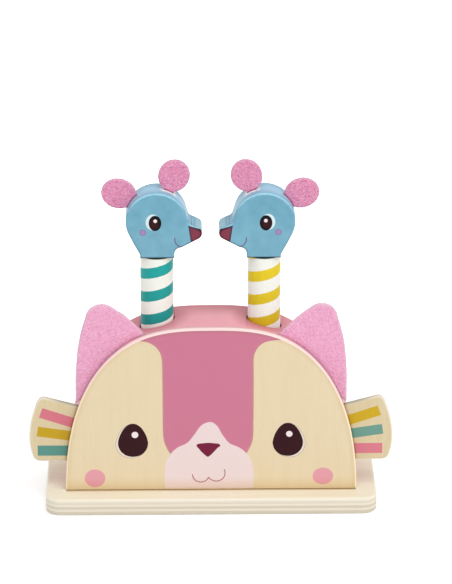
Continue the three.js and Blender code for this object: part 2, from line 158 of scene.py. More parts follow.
# Birch veneer: broad tone bands, fine fibres and sparse short pores, all along the grain
def birchGrain(add, place, along, pale, dark, strength):
    bands = streaks(add, place, along, 60, 6)
    fibres = streaks(add, place, along, 14, 0.5, 4)
    pores = streaks(add, place, along, 3.2, 0.32)
    pits = add("MapRange", [pores, 0.66, 0.74, 0, 0.4 * strength])
    tone = add("Mix", [0.55, bands, fibres])
    wood = coats(add, pale, ("cover", dark, [tone, 0.36, 0.66, 0, strength]), ("cover", "#b08a5a", pits))
    return wood, add("Math", [fibres, pits], "SUBTRACT")


# Cut edge of plywood: plies in turn show long grain, pale, and end grain, darker
def plyEdge(add, place, axis, plies, sheet, start, pale, dark):
    across = add("SeparateXYZ", [place]).outputs[axis]
    waver = add("TexNoise", [place, 45.0, 1.0])
    shifted = add("Math", [waver, 0.22 * mm, across], "MULTIPLY_ADD")
    count = add("MapRange", [shifted, start * mm, (start + sheet) * mm, 0, plies], clamp=False)
    wave = add("Math", [count, 1.0], "PINGPONG")
    turn = add("Math", [add("Math", [count, 0.5], "MULTIPLY")], "FRACT")
    endGrain = add("MapRange", [turn, 0.47, 0.53])
    dots = add("TexNoise", [place, 1900.0, 2.0])
    depth = allOf(add, dots, endGrain, 0.5)
    shade = add("Math", [endGrain, 0.62, depth], "MULTIPLY_ADD")
    glue = add("MapRange", [wave, 0.03, 0.1, 0.35, 0])
    total = add("Math", [shade, glue], "ADD", use_clamp=True)
    return coats(add, pale, ("cover", dark, total)), total


# Closed outline from a start point on through straights, bends and arcs
def trace(start, *runs, steps=14):
    points = [start]
    for kind, *values in runs:
        if kind == "line":
            points.append(values[0])
            continue
        begin = points[-1]
        for step in range(1, steps + 1):
            share = step / steps
            if kind == "bend":  # a quadratic bend by a control point
                control, end = values
                near, far = (1 - share) ** 2, share**2
                points.append(tuple(near * b + 2 * share * (1 - share) * c + far * e
                                    for b, c, e in zip(begin, control, end)))
            else:
                (x, z), radius, first, last = values
                angle = first + (last - first) * share
                points.append((x + radius * math.cos(angle), z + radius * math.sin(angle)))
    return points


def roundEdges(bm, edges, radius, steps):
    bmesh.ops.bevel(bm, geom=edges, offset=radius * mm, affect="EDGES", segments=steps, profile=0.5,
                    material=-1, clamp_overlap=False)


# A flat sheet of an outline that stands up, its front at y = near, with rounded rims
def standingSheet(points, near, thickness, edgeRadius=0.0, edgeSteps=4, rims=(0, 1)):
    bm = bmesh.new()
    front = bm.faces.new([bm.verts.new((x * mm, near * mm, z * mm)) for x, z in points])
    grown = bmesh.ops.extrude_face_region(bm, geom=[front])["geom"]
    moved = [part for part in grown if isinstance(part, bmesh.types.BMVert)]
    bmesh.ops.translate(bm, verts=moved, vec=(0, thickness * mm, 0))
    bmesh.ops.recalc_face_normals(bm, faces=bm.faces)
    if edgeRadius:
        levels = [(near + i * thickness) * mm for i in rims]
        roundEdges(bm, [edge for edge in bm.edges for level in levels
                        if all(abs(vert.co.y - level) < 1e-6 for vert in edge.verts)],
                   edgeRadius, edgeSteps)
    return bm


# Joins a swept shape where its ends meet
def closeUp(bm):
    bmesh.ops.remove_doubles(bm, verts=bm.verts, dist=0.001 * mm)
    bmesh.ops.recalc_face_normals(bm, faces=bm.faces)
    return bm


# A turned piece about an upright axis, from its radius at each height
def turnedPiece(profile, x=0, y=0, foot=0, steps=96):
    bm = bmesh.new()
    verts = [bm.verts.new(((x + radius) * mm, y * mm, (foot + height) * mm))
             for radius, height in profile]
    edges = [bm.edges.new(pair) for pair in zip(verts, verts[1:])]
    bmesh.ops.spin(bm, geom=verts + edges, cent=(x * mm, y * mm, 0), axis=(0, 0, 1),
                   angle=2 * math.pi, steps=steps, use_merge=True)
    return closeUp(bm)


# Profile points of a quarter round, from one angle in degrees on
def quarterRound(radius, height, edge, first, steps=5):
    angles = [math.radians(first + 90 * step / steps) for step in range(steps + 1)]
    return [(radius + edge * math.cos(a), height + edge * math.sin(a)) for a in angles]


def newObject(bm, name):
    mesh = bpy.data.meshes.new(name)
    bm.to_mesh(mesh)
    bm.free()
    made = bpy.data.objects.new(name, mesh)
    bpy.context.scene.collection.objects.link(made)
    return made


# The object's mesh as its modifiers leave it
def settle(piece):
    mesh = bpy.data.meshes.new_from_object(piece.evaluated_get(bpy.context.evaluated_depsgraph_get()))
    piece.modifiers.clear()
    piece.data = mesh
    mesh.name = piece.name


def carve(piece, tools):
    cutters = [newObject(tool, "cutter") for tool in tools]
    for cutter in cutters:
        cut = piece.modifiers.new("cut", "BOOLEAN")
        cut.object, cut.operation, cut.solver = cutter, "DIFFERENCE", "EXACT"
    settle(piece)
    for cutter in cutters:
        bpy.data.objects.remove(cutter)


# Gives a piece its finish, lets it stand for its CAD node and ride on its body
def dress(piece, material, slot, body, node, crease=38):
    piece.data.materials.clear()
    piece.data.materials.append(material)
    piece.data.shade_smooth()
    if crease:
        piece.data.set_sharp_from_angle(angle=math.radians(crease))
        piece.modifiers.new("evenShading", "WEIGHTED_NORMAL").keep_sharp = True
    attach(piece, body)
    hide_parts(node)


arch = {
    "width": 197, "height": 117.5, "sidePower": 2.85, "crownPower": 2.15, "lip": 1, "steps": 180,
    "front": -24, "panelThickness": 6, "blockDepth": 42, "panelEdge": 1.2, "blockEdge": 2.2,
}
board = {
    "width": 224, "depth": 78, "thickness": 12, "corner": 10, "edge": 1.6, "plies": 7,
    "pale": "#ebe5d1", "dark": "#e4d7bc", "plyPale": "#f1e9d7", "plyDark": "#dad1bd",
    "low": "#fbfaf8", "under": "#f2f0ee", "contactShade": "#c9b094",
}
hole = {"places": (-36, 36), "guideRadius": 11.4, "chamberRadius": 14.8, "seatRadius": 13,
        "seatDepth": 3, "rim": 0.5, "pegShadeReach": 12}
screw = {"across": 76, "along": 11, "head": 4.15, "shank": 2.15, "sink": 0.5, "cone": 2.4, "top": 30.65}

blockFront = arch["front"] + arch["panelThickness"]
blockBack = blockFront + arch["blockDepth"]
middleY = blockFront + arch["blockDepth"] / 2
pegFoot, neck = [corner.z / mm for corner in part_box("left_mouse_peg")]
springFoot, springTop = [corner.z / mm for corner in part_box("left_spring")]


# The arch's outline, a rounded shape whose powers square its shoulders
def archPoints(inset):
    points = []
    for step in range(arch["steps"] + 1):
        turn = math.pi * step / arch["steps"]
        across, up = math.cos(turn), max(math.sin(turn), 0)
        x = (arch["width"] / 2 - inset) * math.copysign(abs(across) ** (2 / arch["sidePower"]), across)
        z = (arch["height"] - inset) * up ** (2 / arch["crownPower"])
        points.append((x, board["thickness"] + z))
    return points


# Half the arch's width at a height above the board
def archHalfWidth(height):
    up = (height / arch["height"]) ** arch["crownPower"]
    return arch["width"] / 2 * (1 - up) ** (1 / arch["sidePower"])


# How far inside the arch's outline a point of the upright plane lies, in millimetres
def archDepth(add, x, z):
    fields, slopes = [], []
    for value, size, power in ((x, arch["width"] / 2, arch["sidePower"]),
                               (z, arch["height"], arch["crownPower"])):
        share = add("Math", [add("Math", [value], "ABSOLUTE"), size], "DIVIDE")
        lower = add("Math", [share, power - 1], "POWER")
        fields.append(add("Math", [lower, share], "MULTIPLY"))
        slopes.append(add("Math", [lower, power / size], "MULTIPLY"))
    slope = add("VectorMath", [add("CombineXYZ", slopes)], "LENGTH")
    short = add("Math", [1.0, add("Math", fields, "ADD")], "SUBTRACT")
    return add("Math", [short, slope], "DIVIDE")


# The room that the screws take from below, as tools to cut with
def screwRooms(top):
    profile = [(0, -1), (screw["head"], -1), (screw["head"], screw["sink"]),
               (screw["shank"], screw["sink"] + screw["cone"]), (screw["shank"], top), (0, top)]
    return [turnedPiece(profile, x, middleY + y, steps=32)
            for x in (-screw["across"], screw["across"]) for y in (-screw["along"], screw["along"])]


# Birch plywood, sanded and clear varnished: pale, satin, its plies showing round the rim
def birchBoard():
    material, add, place = newMaterial("birchPlywoodBoard")
    top, relief = birchGrain(add, place, 0, board["pale"], board["dark"], 0.7)
    rim, plies = plyEdge(add, place, 2, board["plies"], board["thickness"], -0.35, board["plyPale"],
                         board["plyDark"])
    x, y, z = add("SeparateXYZ", [place]).outputs
    away = add("Math", [x], "ABSOLUTE")
    flat = add("MapRange", [add("Math", [facingParts(add)["Z"]], "ABSOLUTE"), 0.86, 0.97])
    # the upper dark ply is a paler sheet, the lower part of the rim is darker, painted shade lies on the
    # rounding that faces down, and a painted contact shadow lies along the foot of the panel and of the
    # block
    wood = coats(add, rim, ("cover", board["plyPale"], [z, 7.6 * mm, 9.2 * mm, 0, 0.55]),
                 ("glaze", board["low"], [z, 8 * mm, 6.5 * mm]),
                 ("glaze", board["under"], [z, 1.9 * mm, 0.6 * mm]), ("cover", top, flat),
                 ("glaze", board["contactShade"],
                  [away, (arch["width"] / 2 + 0.3) * mm, (arch["width"] / 2 - 0.6) * mm],
                  [y, (arch["front"] - 2.4) * mm, (arch["front"] - 0.2) * mm],
                  [y, (blockBack + 1.8) * mm, (blockBack + 0.1) * mm]))
    gloss = add("MapRange", [relief, 0.3, 0.7, 0.42, 0.55])
    return finish(material, add, wood, add("Mix", [flat, plies, relief]), 0.03, 0.6,
                  {"Roughness": gloss, "Coat Weight": 0.06, "Coat Roughness": 0.35,
                   "Specular IOR Level": 0.25})


def makeBoard():
    bm = bmesh.new()
    half = board["thickness"] * mm / 2
    size = Matrix.Diagonal((board["width"] * mm, board["depth"] * mm, board["thickness"] * mm, 1))
    bmesh.ops.create_cube(bm, size=1, matrix=Matrix.Translation((0, 0, half)) @ size)
    upright = [edge for edge in bm.edges if abs(edge.verts[0].co.z - edge.verts[1].co.z) > half]
    roundEdges(bm, upright, board["corner"], 16)
    rims = [edge for edge in bm.edges if abs(edge.verts[0].co.z - edge.verts[1].co.z) < mm / 100]
    roundEdges(bm, rims, board["edge"], 5)
    piece = newObject(bm, "birchBoard")
    top, seat = board["thickness"], board["thickness"] - hole["seatDepth"]
    profile = [(0, seat), (hole["seatRadius"], seat), (hole["seatRadius"], top + 1), (0, top + 1)]
    carve(piece, [turnedPiece(profile, x, middleY) for x in hole["places"]] + screwRooms(top + 1))
    dress(piece, birchBoard(), "birch_plywood", "root", "base_board")


makeBoard()
print("board made")

# Front panel with the printed face, in millimetres from the middle of the board's top. Each
# print is given by points of its left and right borders, as (height, x).
face = {
    "birch": "#ecdab8", "birchDark": "#e2cda4", "edge": "#fff0ca", "edgeDark": "#f8e4bb",
    "edgeBounce": "#f9dbdc", "edgeBack": "#dcc5c4", "edgeShade": "#d6cbd0", "edgeLine": "#faf6f0",
    "inkLine": "#bd8490", "foot": "#f3e9d6", "gap": "#c6ac90",
    "forehead": "#d07a97", "foreheadRim": "#c98d8d", "muzzle": "#f0dcdb", "nose": "#791d3e",
    "noseRim": "#56142e", "eye": "#310e17", "crescent": "#eedfd2", "crescentLine": "#b0a297",
    "glint": "#f6e8ea", "cheek": "#e8a2ae", "mouth": "#ac6b7c",
    "foreheadLeft": [(25.8, -27.2), (30.5, -29.8), (37, -32), (45, -32.6), (80, -32.7), (94.8, -32.9),
                     (102, -34.8), (107.4, -40.3), (109.4, -48), (109.9, -60), (110.5, -98), (125, -99)],
    "foreheadRight": [(25.8, 23.4), (30.5, 25.8), (36.6, 28), (45, 28.5), (80, 28.6), (94.4, 28.5),
                      (102.1, 30.2), (107.6, 35.3), (109.6, 45.5), (110.1, 60), (110.7, 98), (125, 99)],
    "muzzleLeft": [(-1, -31.2), (8, -31.6), (19.6, -30.8), (26.3, -27.6), (31.3, -22.8), (34.8, -16.2),
                   (40.6, -11.5), (47.3, -6.9), (49.6, -3.2), (50.2, -0.8)],
    "muzzleRight": [(-1, 28.2), (12.4, 28.7), (21, 27.1), (26.9, 23.7), (31, 19.1), (34.6, 12.2),
                    (40.5, 7.7), (46.9, 4.2), (49.6, 1.2), (50.2, -0.8)],
    "noseLeft": [(24.3, -2.2), (25.2, -3.6), (31, -8.8), (32.8, -9.9), (33.8, -9.2), (34.4, -6),
                 (34.8, -1.8)],
    "noseRight": [(24.3, -2.2), (25.2, -0.9), (31, 4.4), (32.8, 6.1), (33.8, 5.4), (34.4, 2.2),
                  (34.8, -1.8)],
    # x, height and half width of the eyes, how far a pale crescent looks out beside them, and how
    # much larger it is sideways, up and down
    "eyes": [(-52.75, 35.2, 10.2), (51.75, 35.2, 10.3)], "eyeTop": 14, "eyeFoot": 10.5, "eyeTaper": 0.2,
    "crescentShift": (1.15, -0.6), "crescentGrow": (0.55, 0.1, 0.4),
    # x, height, half width, half height and where the soft edge starts and ends
    "spots": {"glint": [(-51.4, 40.9, 2.3, 2.3, -0.08, 0.1), (52.7, 41.0, 2.2, 2.2, -0.08, 0.1)],
              "cheek": [(-78.7, 8.9, 6.95, 6.6, -0.03, 0.04), (75.7, 9.6, 7.0, 6.2, -0.03, 0.04)]},
    # middle, radius and two ends of each arc of the smile
    "smile": [(-7.04, 11.18, 5.57, -12.6, 11.4, -1.8, 9.3), (3.4, 12.3, 6.0, -1.8, 9.3, 9.0, 15.1)],
    "smileWidth": 0.7, "plies": 5,
}


# x of a printed border at each height, as a smooth line through its points
def borderLine(add, height, points):
    heights, places = zip(*points)
    foot, top, low, high = heights[0], heights[-1], min(places), max(places)
    curve = add("FloatCurve", {"Value": add("MapRange", [height, foot, top])})
    line = curve.mapping.curves[0]
    while len(line.points) < len(points):
        line.points.new(0.5, 0.5)
    for knot, (z, x) in zip(line.points, points):
        knot.location = ((z - foot) / (top - foot), (x - low) / (high - low))
        knot.handle_type = "AUTO_CLAMPED"
    curve.mapping.update()
    return add("MapRange", [curve, 0, 1, low, high])


# How far inside a print's two borders a point lies, in millimetres
def printedShape(add, x, z, name):
    left, right = face[name + "Left"], face[name + "Right"]
    gaps = [(x, borderLine(add, z, left)), (borderLine(add, z, right), x),
            (z, left[0][0]), (left[-1][0], z)]
    leftGap, rightGap, footGap, topGap = [add("Math", gap, "SUBTRACT") for gap in gaps]
    across = add("Math", [leftGap, rightGap], "MINIMUM")
    up = add("Math", [footGap, topGap], "MINIMUM")
    return add("Math", [across, up], "MINIMUM")


# How far inside an egg shape a point lies: 1 at its middle, 0 on its outline. Its upper
# half may narrow by a share.
def eggField(add, x, z, centre, halfWidth, top, foot, power=2.0, taper=0.0):
    across = add("MapRange", [x, centre[0], centre[0] + halfWidth], clamp=False)
    up = add("MapRange", [z, centre[1], centre[1] + top], clamp=False)
    down = add("MapRange", [z, centre[1], centre[1] - foot], clamp=False)
    size = add("Math", [up, down], "MAXIMUM")
    if taper:
        narrow = add("MapRange", [up, 0, 1, 1, 1 - taper])
        across = add("Math", [across, narrow], "DIVIDE")
    wide = add("Math", [add("Math", [across], "ABSOLUTE"), power], "POWER")
    tall = add("Math", [size, power], "POWER")
    return add("Math", [1.0, add("Math", [wide, tall], "ADD")], "SUBTRACT")


# A thin drawn arc: part of a circle below the line between its two ends
def drawnArc(add, x, z, arc, width):
    centreX, centreZ, radius, startX, startZ, endX, endZ = arc
    point = add("CombineXYZ", {"X": x, "Y": z})
    away = add("VectorMath", [point, (centreX, centreZ, 0)], "DISTANCE")
    gap = add("Math", [add("Math", [away, radius], "SUBTRACT")], "ABSOLUTE")
    slope = (endZ - startZ) / (endX - startX)
    chord = add("Math", [x, slope, startZ - slope * startX], "MULTIPLY_ADD")
    below = add("Math", [chord, z], "SUBTRACT")
    return allOf(add, [gap, width / 2 + 0.08, width / 2 - 0.08], [below, -0.3, 0.1])


# Birch plywood with a face in matt screen ink: even colour, a faint grain under it
def printedFace():
    material, add, place = newMaterial("printedBirchPlywood")
    local, (x, y, z) = measured(add, place, (0, 0, board["thickness"]))
    # screen ink creeps a little along the grain, so each border wavers by a tenth of a millimetre
    nudge = add("MapRange", [add("TexNoise", [local, 0.8, 2.0]), 0, 1, -0.14, 0.14])
    inkX, inkZ = [add("Math", [value, nudge], "ADD") for value in (x, z)]
    birch, relief = birchGrain(add, place, 2, face["birch"], face["birchDark"], 0.45)
    forehead, muzzle, nose = [printedShape(add, inkX, inkZ, name)
                              for name in ("forehead", "muzzle", "nose")]
    # each print: its field, where its soft edge starts and ends, and its ink
    layers = [(forehead, -0.15, 0.15, "foreheadRim"), (forehead, 0.35, 1.5, "forehead"),
              (muzzle, -0.3, 0.3, "muzzle"), (nose, -0.12, 0.12, "noseRim"), (nose, 0.3, 0.8, "nose")]
    for arc in face["smile"]:
        layers.append((drawnArc(add, inkX, inkZ, arc, face["smileWidth"]), 0, 1, "mouth"))
    (shiftX, shiftZ), (wider, taller, deeper) = face["crescentShift"], face["crescentGrow"]
    for eyeX, eyeZ, halfWidth in face["eyes"]:
        outward = math.copysign(shiftX, eyeX)
        crescent = eggField(add, inkX, inkZ, (eyeX + outward, eyeZ + shiftZ), halfWidth + wider,
                            face["eyeTop"] + taller, face["eyeFoot"] + deeper, 2.1, face["eyeTaper"])
        eye = eggField(add, inkX, inkZ, (eyeX, eyeZ), halfWidth, face["eyeTop"], face["eyeFoot"], 2.1,
                       face["eyeTaper"])
        layers += [(crescent, -0.01, 0.02, "crescentLine"), (crescent, 0.05, 0.08, "crescent"),
                   (eye, -0.015, 0.02, "eye")]
    for name, spots in face["spots"].items():
        for *middle, halfWidth, halfHeight, start, end in spots:
            spot = eggField(add, inkX, inkZ, middle, halfWidth, halfHeight, halfHeight)
            layers.append((spot, start, end, name))
    colour, inked = birch, None
    for field, start, end, name in layers:
        mask = add("MapRange", [field, start, end])
        thinness = 0.03 if name in ("muzzle", "forehead") else 0.004
        ink = coats(add, face[name], ("cover", birch, thinness))
        colour = coats(add, colour, ("cover", ink, mask))
        inked = add("Math", [inked, mask], "MAXIMUM") if inked else mask
    # the face is darker and yellower towards its foot and a little darker within a few millimetres of
    # the rim, where the forehead's ink is thin and greyer
    depth = archDepth(add, x, z)
    colour = coats(add, colour, ("glaze", face["foot"], [z, 9, 0]),
                   ("glaze", face["edgeLine"], [depth, 4.2, 1.6]),
                   ("cover", face["inkLine"], [depth, 2.6, 1.4, 0, 0.7], [forehead, 0.3, 1.2]))
    # the ink stops on the rounded rim, and the sawn edge stays bare, with painted pink bounce light
    # about the crown, painted shade along its rear against the block and where an ear stands behind it,
    # and a painted contact shadow along the panel's foot
    near = arch["front"]
    rim = plyEdge(add, place, 1, face["plies"], arch["panelThickness"], near, face["edge"],
                  face["edgeDark"])[0]
    front = add("MapRange", [y, near + 0.07, near + 0.03])
    shown = coats(add, rim, ("cover", face["edgeBounce"], [z, 50, 86, 0, 0.88]),
                  ("glaze", face["edgeBack"], [y, near + 2.6, near + 4.2]),
                  ("glaze", face["edgeShade"], [y, near + 1.4, near + 3.4], [z, 108, 100]),
                  ("cover", colour, front), ("glaze", face["gap"], [z, 0.6, 0.15]))
    ink = allOf(add, inked, front)
    wood = add("Mix", [ink, relief, add("Math", [relief, 0.35], "MULTIPLY")])
    height = add("Math", [ink, 0.7, wood], "MULTIPLY_ADD")
    gloss = add("MapRange", [ink, 0, 1, 0.5, 0.58])
    return finish(material, add, shown, height, 0.035, 0.7,
                  {"Roughness": gloss, "Specular IOR Level": 0.11})


facePanel = standingSheet(archPoints(0), arch["front"], arch["panelThickness"], arch["panelEdge"], 6)
dress(newObject(facePanel, "facePanel"), printedFace(), "printed_plywood", "root", "front_panel")
print("face panel made")

# Cat ears, cut from thick felt. Places are shares of the ear's width and height from its
# outer foot; the pairs by side say how the two ears differ.
catEar = {
    "thickness": 3, "edge": 1.1, "width": 53, "height": 70.9, "footShare": 0.524,
    "outerBow": (-0.02, 0.53), "tipStart": (0.149, 0.865), "tipCentre": (0.355, 0.846),
    "tipRadius": 0.208, "tipEnd": 135, "innerBow": (0.732, 0.84), "innerFoot": (1, 0.58),
    "footReach": {-1: 1.8, 1: 2.2}, "slack": {-1: -0.8, 1: 0}, "tipLean": {-1: 0.0, 1: 1.6},
    "tipSpread": {-1: 1.2, 1: 0.3}, "curl": 1.4, "curlFrom": 75, "curlRise": 60, "spreadFrom": 58,
    "spreadReach": 22, "pocketRoom": 0.3, "seed": {-1: 5, 1: 11},
    "colour": "#f5b2d1", "fleck": "#dd8ab4", "pale": "#fdcfe4", "cutEdge": "#dcc3d0",
    "crease": "#f0e4e9", "creaseWidth": 1.3,
    "voxel": 0.55, "nap": 0.16, "fibres": 3600, "fibreLength": 1.5,
}
fan = {
    "thickness": 4, "edge": 1.2, "reach": 28.3, "tuck": 16.5, "height": 47.8, "foot": 19, "corner": 6,
    "rimRadius": 90, "rimShare": 0.44, "topSlope": 0.275, "cornerInset": 0.4, "plies": 3,
    "pocketRoom": 0.15,
    "birch": "#e4d3ae", "birchDark": "#d8c59b", "edgePale": "#f8f1e0", "edgeDark": "#dccbaa",
    "round": "#f3ebda", "topGrey": "#c2c2b9", "crease": "#dccbbd",
    # each bar: colour, outer end, inner end and width, for a fan on the right
    "bars": {"left": ["#d97687", "#c8a217", "#56948b"], "right": ["#d0ab18", "#6a9d91", "#dd7d8f"]},
    "ends": [((114.2, 54.8), (86, 45.1), 7.4), ((116.7, 41.1), (88, 36.8), 7.2),
             ((116.7, 26.9), (88, 26.9), 7.5)],
    "drift": {"left": (0.7, 0.1), "right": (-0.65, 0.55)},  # each print sits a little off
}


def catEarPoints(side, grow=0):
    foot = catEar["footShare"] * arch["height"]
    footX = archHalfWidth(foot) + catEar["footReach"][side]
    spot = {name: (footX - value[0] * catEar["width"], foot + value[1] * catEar["height"])
            for name, value in catEar.items() if isinstance(value, tuple)}
    tipX, tipZ = spot["tipCentre"]
    radius = catEar["tipRadius"] * catEar["width"] + grow
    first = math.atan2(spot["tipStart"][1] - tipZ, spot["tipStart"][0] - tipX)
    tipStart = (tipX + radius * math.cos(first), tipZ + radius * math.sin(first))
    (outerX, outerZ), (bowX, bowZ) = spot["outerBow"], spot["innerBow"]
    innerX, innerZ = spot["innerFoot"]
    points = trace((footX + grow, foot - grow), ("bend", (outerX + grow, outerZ), tipStart),
                   ("arc", spot["tipCentre"], radius, first, math.radians(catEar["tipEnd"])),
                   ("bend", (bowX - grow, bowZ - catEar["slack"][side] + grow),
                    (innerX - grow, innerZ - grow)), steps=20)
    return [(side * x, board["thickness"] + z) for x, z in points]


def fanPoints(side, grow=0):
    panelX = archHalfWidth(fan["foot"] + fan["height"] / 2)
    rimX, innerX = panelX + fan["reach"] + grow, panelX - fan["tuck"] - grow
    foot, top = fan["foot"] - grow, fan["foot"] + fan["height"] + grow
    rimZ, rim, corner = foot + fan["rimShare"] * (top - foot), fan["rimRadius"] + grow, fan["corner"]
    inset = fan["cornerInset"] * corner
    footX = rimX - rim + math.sqrt(rim**2 - (foot + corner - rimZ) ** 2)
    topX = rimX - rim + math.sqrt(rim**2 - (top - corner - rimZ) ** 2) - inset
    shoulder = topX - corner
    points = trace((innerX, foot), ("line", (footX - corner, foot)),
                   ("bend", (footX - inset / 2, foot), (footX, foot + corner)),
                   ("bend", (2 * rimX - (footX + topX) / 2, rimZ), (topX, top - corner)),
                   ("bend", (topX - inset, top), (shoulder, top - inset / 2)),
                   ("line", (innerX, top - inset / 2 - fan["topSlope"] * (shoulder - innerX))))
    return [(side * x, board["thickness"] + z) for x, z in points]


# Block: solid wood in satin pink paint, even and smooth, a deeper red down in the holes that is
# partly their paint and partly painted shade
block = {"colour": "#eca4ae", "shade": "#e49ba8", "worn": "#f2c9cb", "bore": "#b8324f", "raw": "#dcc39a",
         "back": "#dcbcbc", "contactShade": "#dcb4b0", "pegShade": "#d9bcc0"}


def pinkPaint():
    material, add, place = newMaterial("pinkPaintedWood")
    _, y, z = add("SeparateXYZ", [place]).outputs
    facing = facingParts(add)
    cloud = add("TexNoise", [place, 38.0, 2.0])
    grain = streaks(add, place, 0, 24, 0.7, 3)
    scuff = add("TexNoise", [place, 420.0, 3.0])
    rubbed = allOf(add, roundedEdge(add), scuff)
    inner, pegShadeRings = [], []
    for x in hole["places"]:
        flat = add("VectorMath", [place, (1, 1, 0)], "MULTIPLY")
        away = add("VectorMath", [flat, (x * mm, middleY * mm, 0)], "DISTANCE")
        for found, start, end in ((inner, hole["rim"] * 0.8, hole["rim"] * 0.3),
                                  (pegShadeRings, hole["pegShadeReach"], 0)):
            found.append(add("MapRange", [away, (hole["guideRadius"] + start) * mm,
                                          (hole["guideRadius"] + end) * mm]))
    inside, pegShadeMask = [add("Math", both, "MAXIMUM") for both in (inner, pegShadeRings)]
    # the brush reached some way down each bore, and bare wood follows
    drip = add("Math", [scuff, 6 * mm, z], "MULTIPLY_ADD")
    bore = coats(add, block["raw"],
                 ("cover", block["bore"], [drip, (pegFoot + 4) * mm, (pegFoot + 5) * mm]))
    # painted shade darkens the top towards the back, a thin line of painted shade lies along the panel,
    # and painted shade gathers on the crown about the pegs
    shown = coats(add, block["colour"],
                  ("cover", block["shade"], [add("Mix", [0.4, cloud, grain]), 0.35, 0.65]),
                  ("cover", block["worn"], [rubbed, 0.42, 0.7, 0, 0.55]),
                  ("glaze", block["back"], [y, 3 * mm, blockBack * mm], [facing["Y"], 0.95, 0.4, 0.15]),
                  ("glaze", block["contactShade"], [y, (blockFront + 1.6) * mm, (blockFront + 0.4) * mm]),
                  ("glaze", block["pegShade"], pegShadeMask, [facing["Z"], 0.3, 0.7]), ("cover", bore, inside))
    height = add("Mix", [0.35, add("TexNoise", [place, 900.0, 1.0]), grain])
    gloss = add("MapRange", [cloud, 0, 1, 0.36, 0.5])
    return finish(material, add, shown, height, 0.03, 0.5,
                  {"Roughness": gloss, "Specular IOR Level": 0.3})


def makeBlock():
    bm = standingSheet(archPoints(arch["lip"]), blockFront, arch["blockDepth"], arch["blockEdge"], 6,
                       rims=(1,))
    piece = newObject(bm, "pinkBlock")
    foot, high = board["thickness"] - 1, board["thickness"] + arch["height"] + 20
    profile = [(0, foot), (hole["chamberRadius"], foot), (hole["chamberRadius"], pegFoot),
               (hole["guideRadius"], pegFoot), (hole["guideRadius"], high), (0, high)]
    tools = [turnedPiece(profile, x, middleY) for x in hole["places"]] + screwRooms(screw["top"])
    # pockets for the ears and fans, open to the front and 0.15 mm deeper than they are thick
    for side in sides.values():
        for points, look in ((catEarPoints, catEar), (fanPoints, fan)):
            outline = points(side, look["pocketRoom"])
            tools.append(standingSheet(outline, blockFront - 1, 1 + look["thickness"] + 0.15))
    carve(piece, tools)
    # the mouth of each hole is eased with sandpaper
    bm = bmesh.new()
    bm.from_mesh(piece.data)

    def onMouth(point):
        away = math.hypot(abs(point.x) - hole["places"][1] * mm, point.y - middleY * mm)
        return point.z > (pegFoot + 5) * mm and abs(away - hole["guideRadius"] * mm) < 0.02 * mm

    sharp = [edge for edge in bm.edges if len(edge.link_faces) == 2 and edge.calc_face_angle() > 0.6]
    mouths = [edge for edge in sharp if all(onMouth(vert.co) for vert in edge.verts)]
    roundEdges(bm, mouths, hole["rim"], 3)
    bm.to_mesh(piece.data)
    bm.free()
    dress(piece, pinkPaint(), "pink_painted_wood", "root", "cat_block")


makeBlock()
print("block made")


# Thick pressed felt: matted wool fibres, mottled in tone, fuzzy, with no gloss at all. Painted
# shade darkens it in the crease where it comes out of the wood, which creaseAt gives in millimetres.
def feltCloth(name, look, creaseAt):
    material, add, place = newMaterial(name)
    # fibres are finer than this; they are drawn coarse enough to show
    warp = add("TexNoise", [place, 500.0, 2.0]).outputs["Color"]
    bent = add("VectorMath", [warp, (1.6 * mm,) * 3, place], "MULTIPLY_ADD")
    tufts = []
    for turn in (0.5, -0.7):
        spot = add("Mapping", {"Vector": bent, "Rotation": (0, turn, 0),
                               "Scale": (1.9 * mm, 0.6 * mm, 0.45 * mm)}, vector_type="TEXTURE")
        tufts.append(add("TexNoise", [spot, 1.0, 3.0]))
    matted = allOf(add, *tufts)
    shown = coats(add, look["colour"], ("cover", look["fleck"], [matted, 0.25, 0.15, 0, 0.8]),
                  ("cover", look["pale"], [matted, 0.26, 0.4, 0, 0.8]),
                  ("cover", look["cutEdge"], roundedEdge(add), 0.75),
                  ("glaze", look["crease"], [creaseAt(add, place), look["creaseWidth"], 0.2]))
    return finish(material, add, shown, matted, 0.5, 0.7,
                  {"Roughness": 0.95, "Sheen Weight": 0.25, "Sheen Roughness": 0.6,
                   "Sheen Tint": linear(look["pale"]), "Specular IOR Level": 0.15})


# A loose fibre: a thin cone, a little bent
def fibreMesh(width, length):
    bm = bmesh.new()
    bmesh.ops.create_cone(bm, cap_ends=True, segments=3, radius1=width * mm, radius2=0.012 * mm,
                          depth=length * mm)
    long = [edge for edge in bm.edges if edge.calc_length() > 0.5 * mm]
    bmesh.ops.subdivide_edges(bm, edges=long, cuts=2)
    for vert in bm.verts:
        vert.co.x += 0.3 * mm * (vert.co.z / (length * mm)) ** 2
    mesh = bpy.data.meshes.new("fibre")
    bm.to_mesh(mesh)
    bm.free()
    return mesh


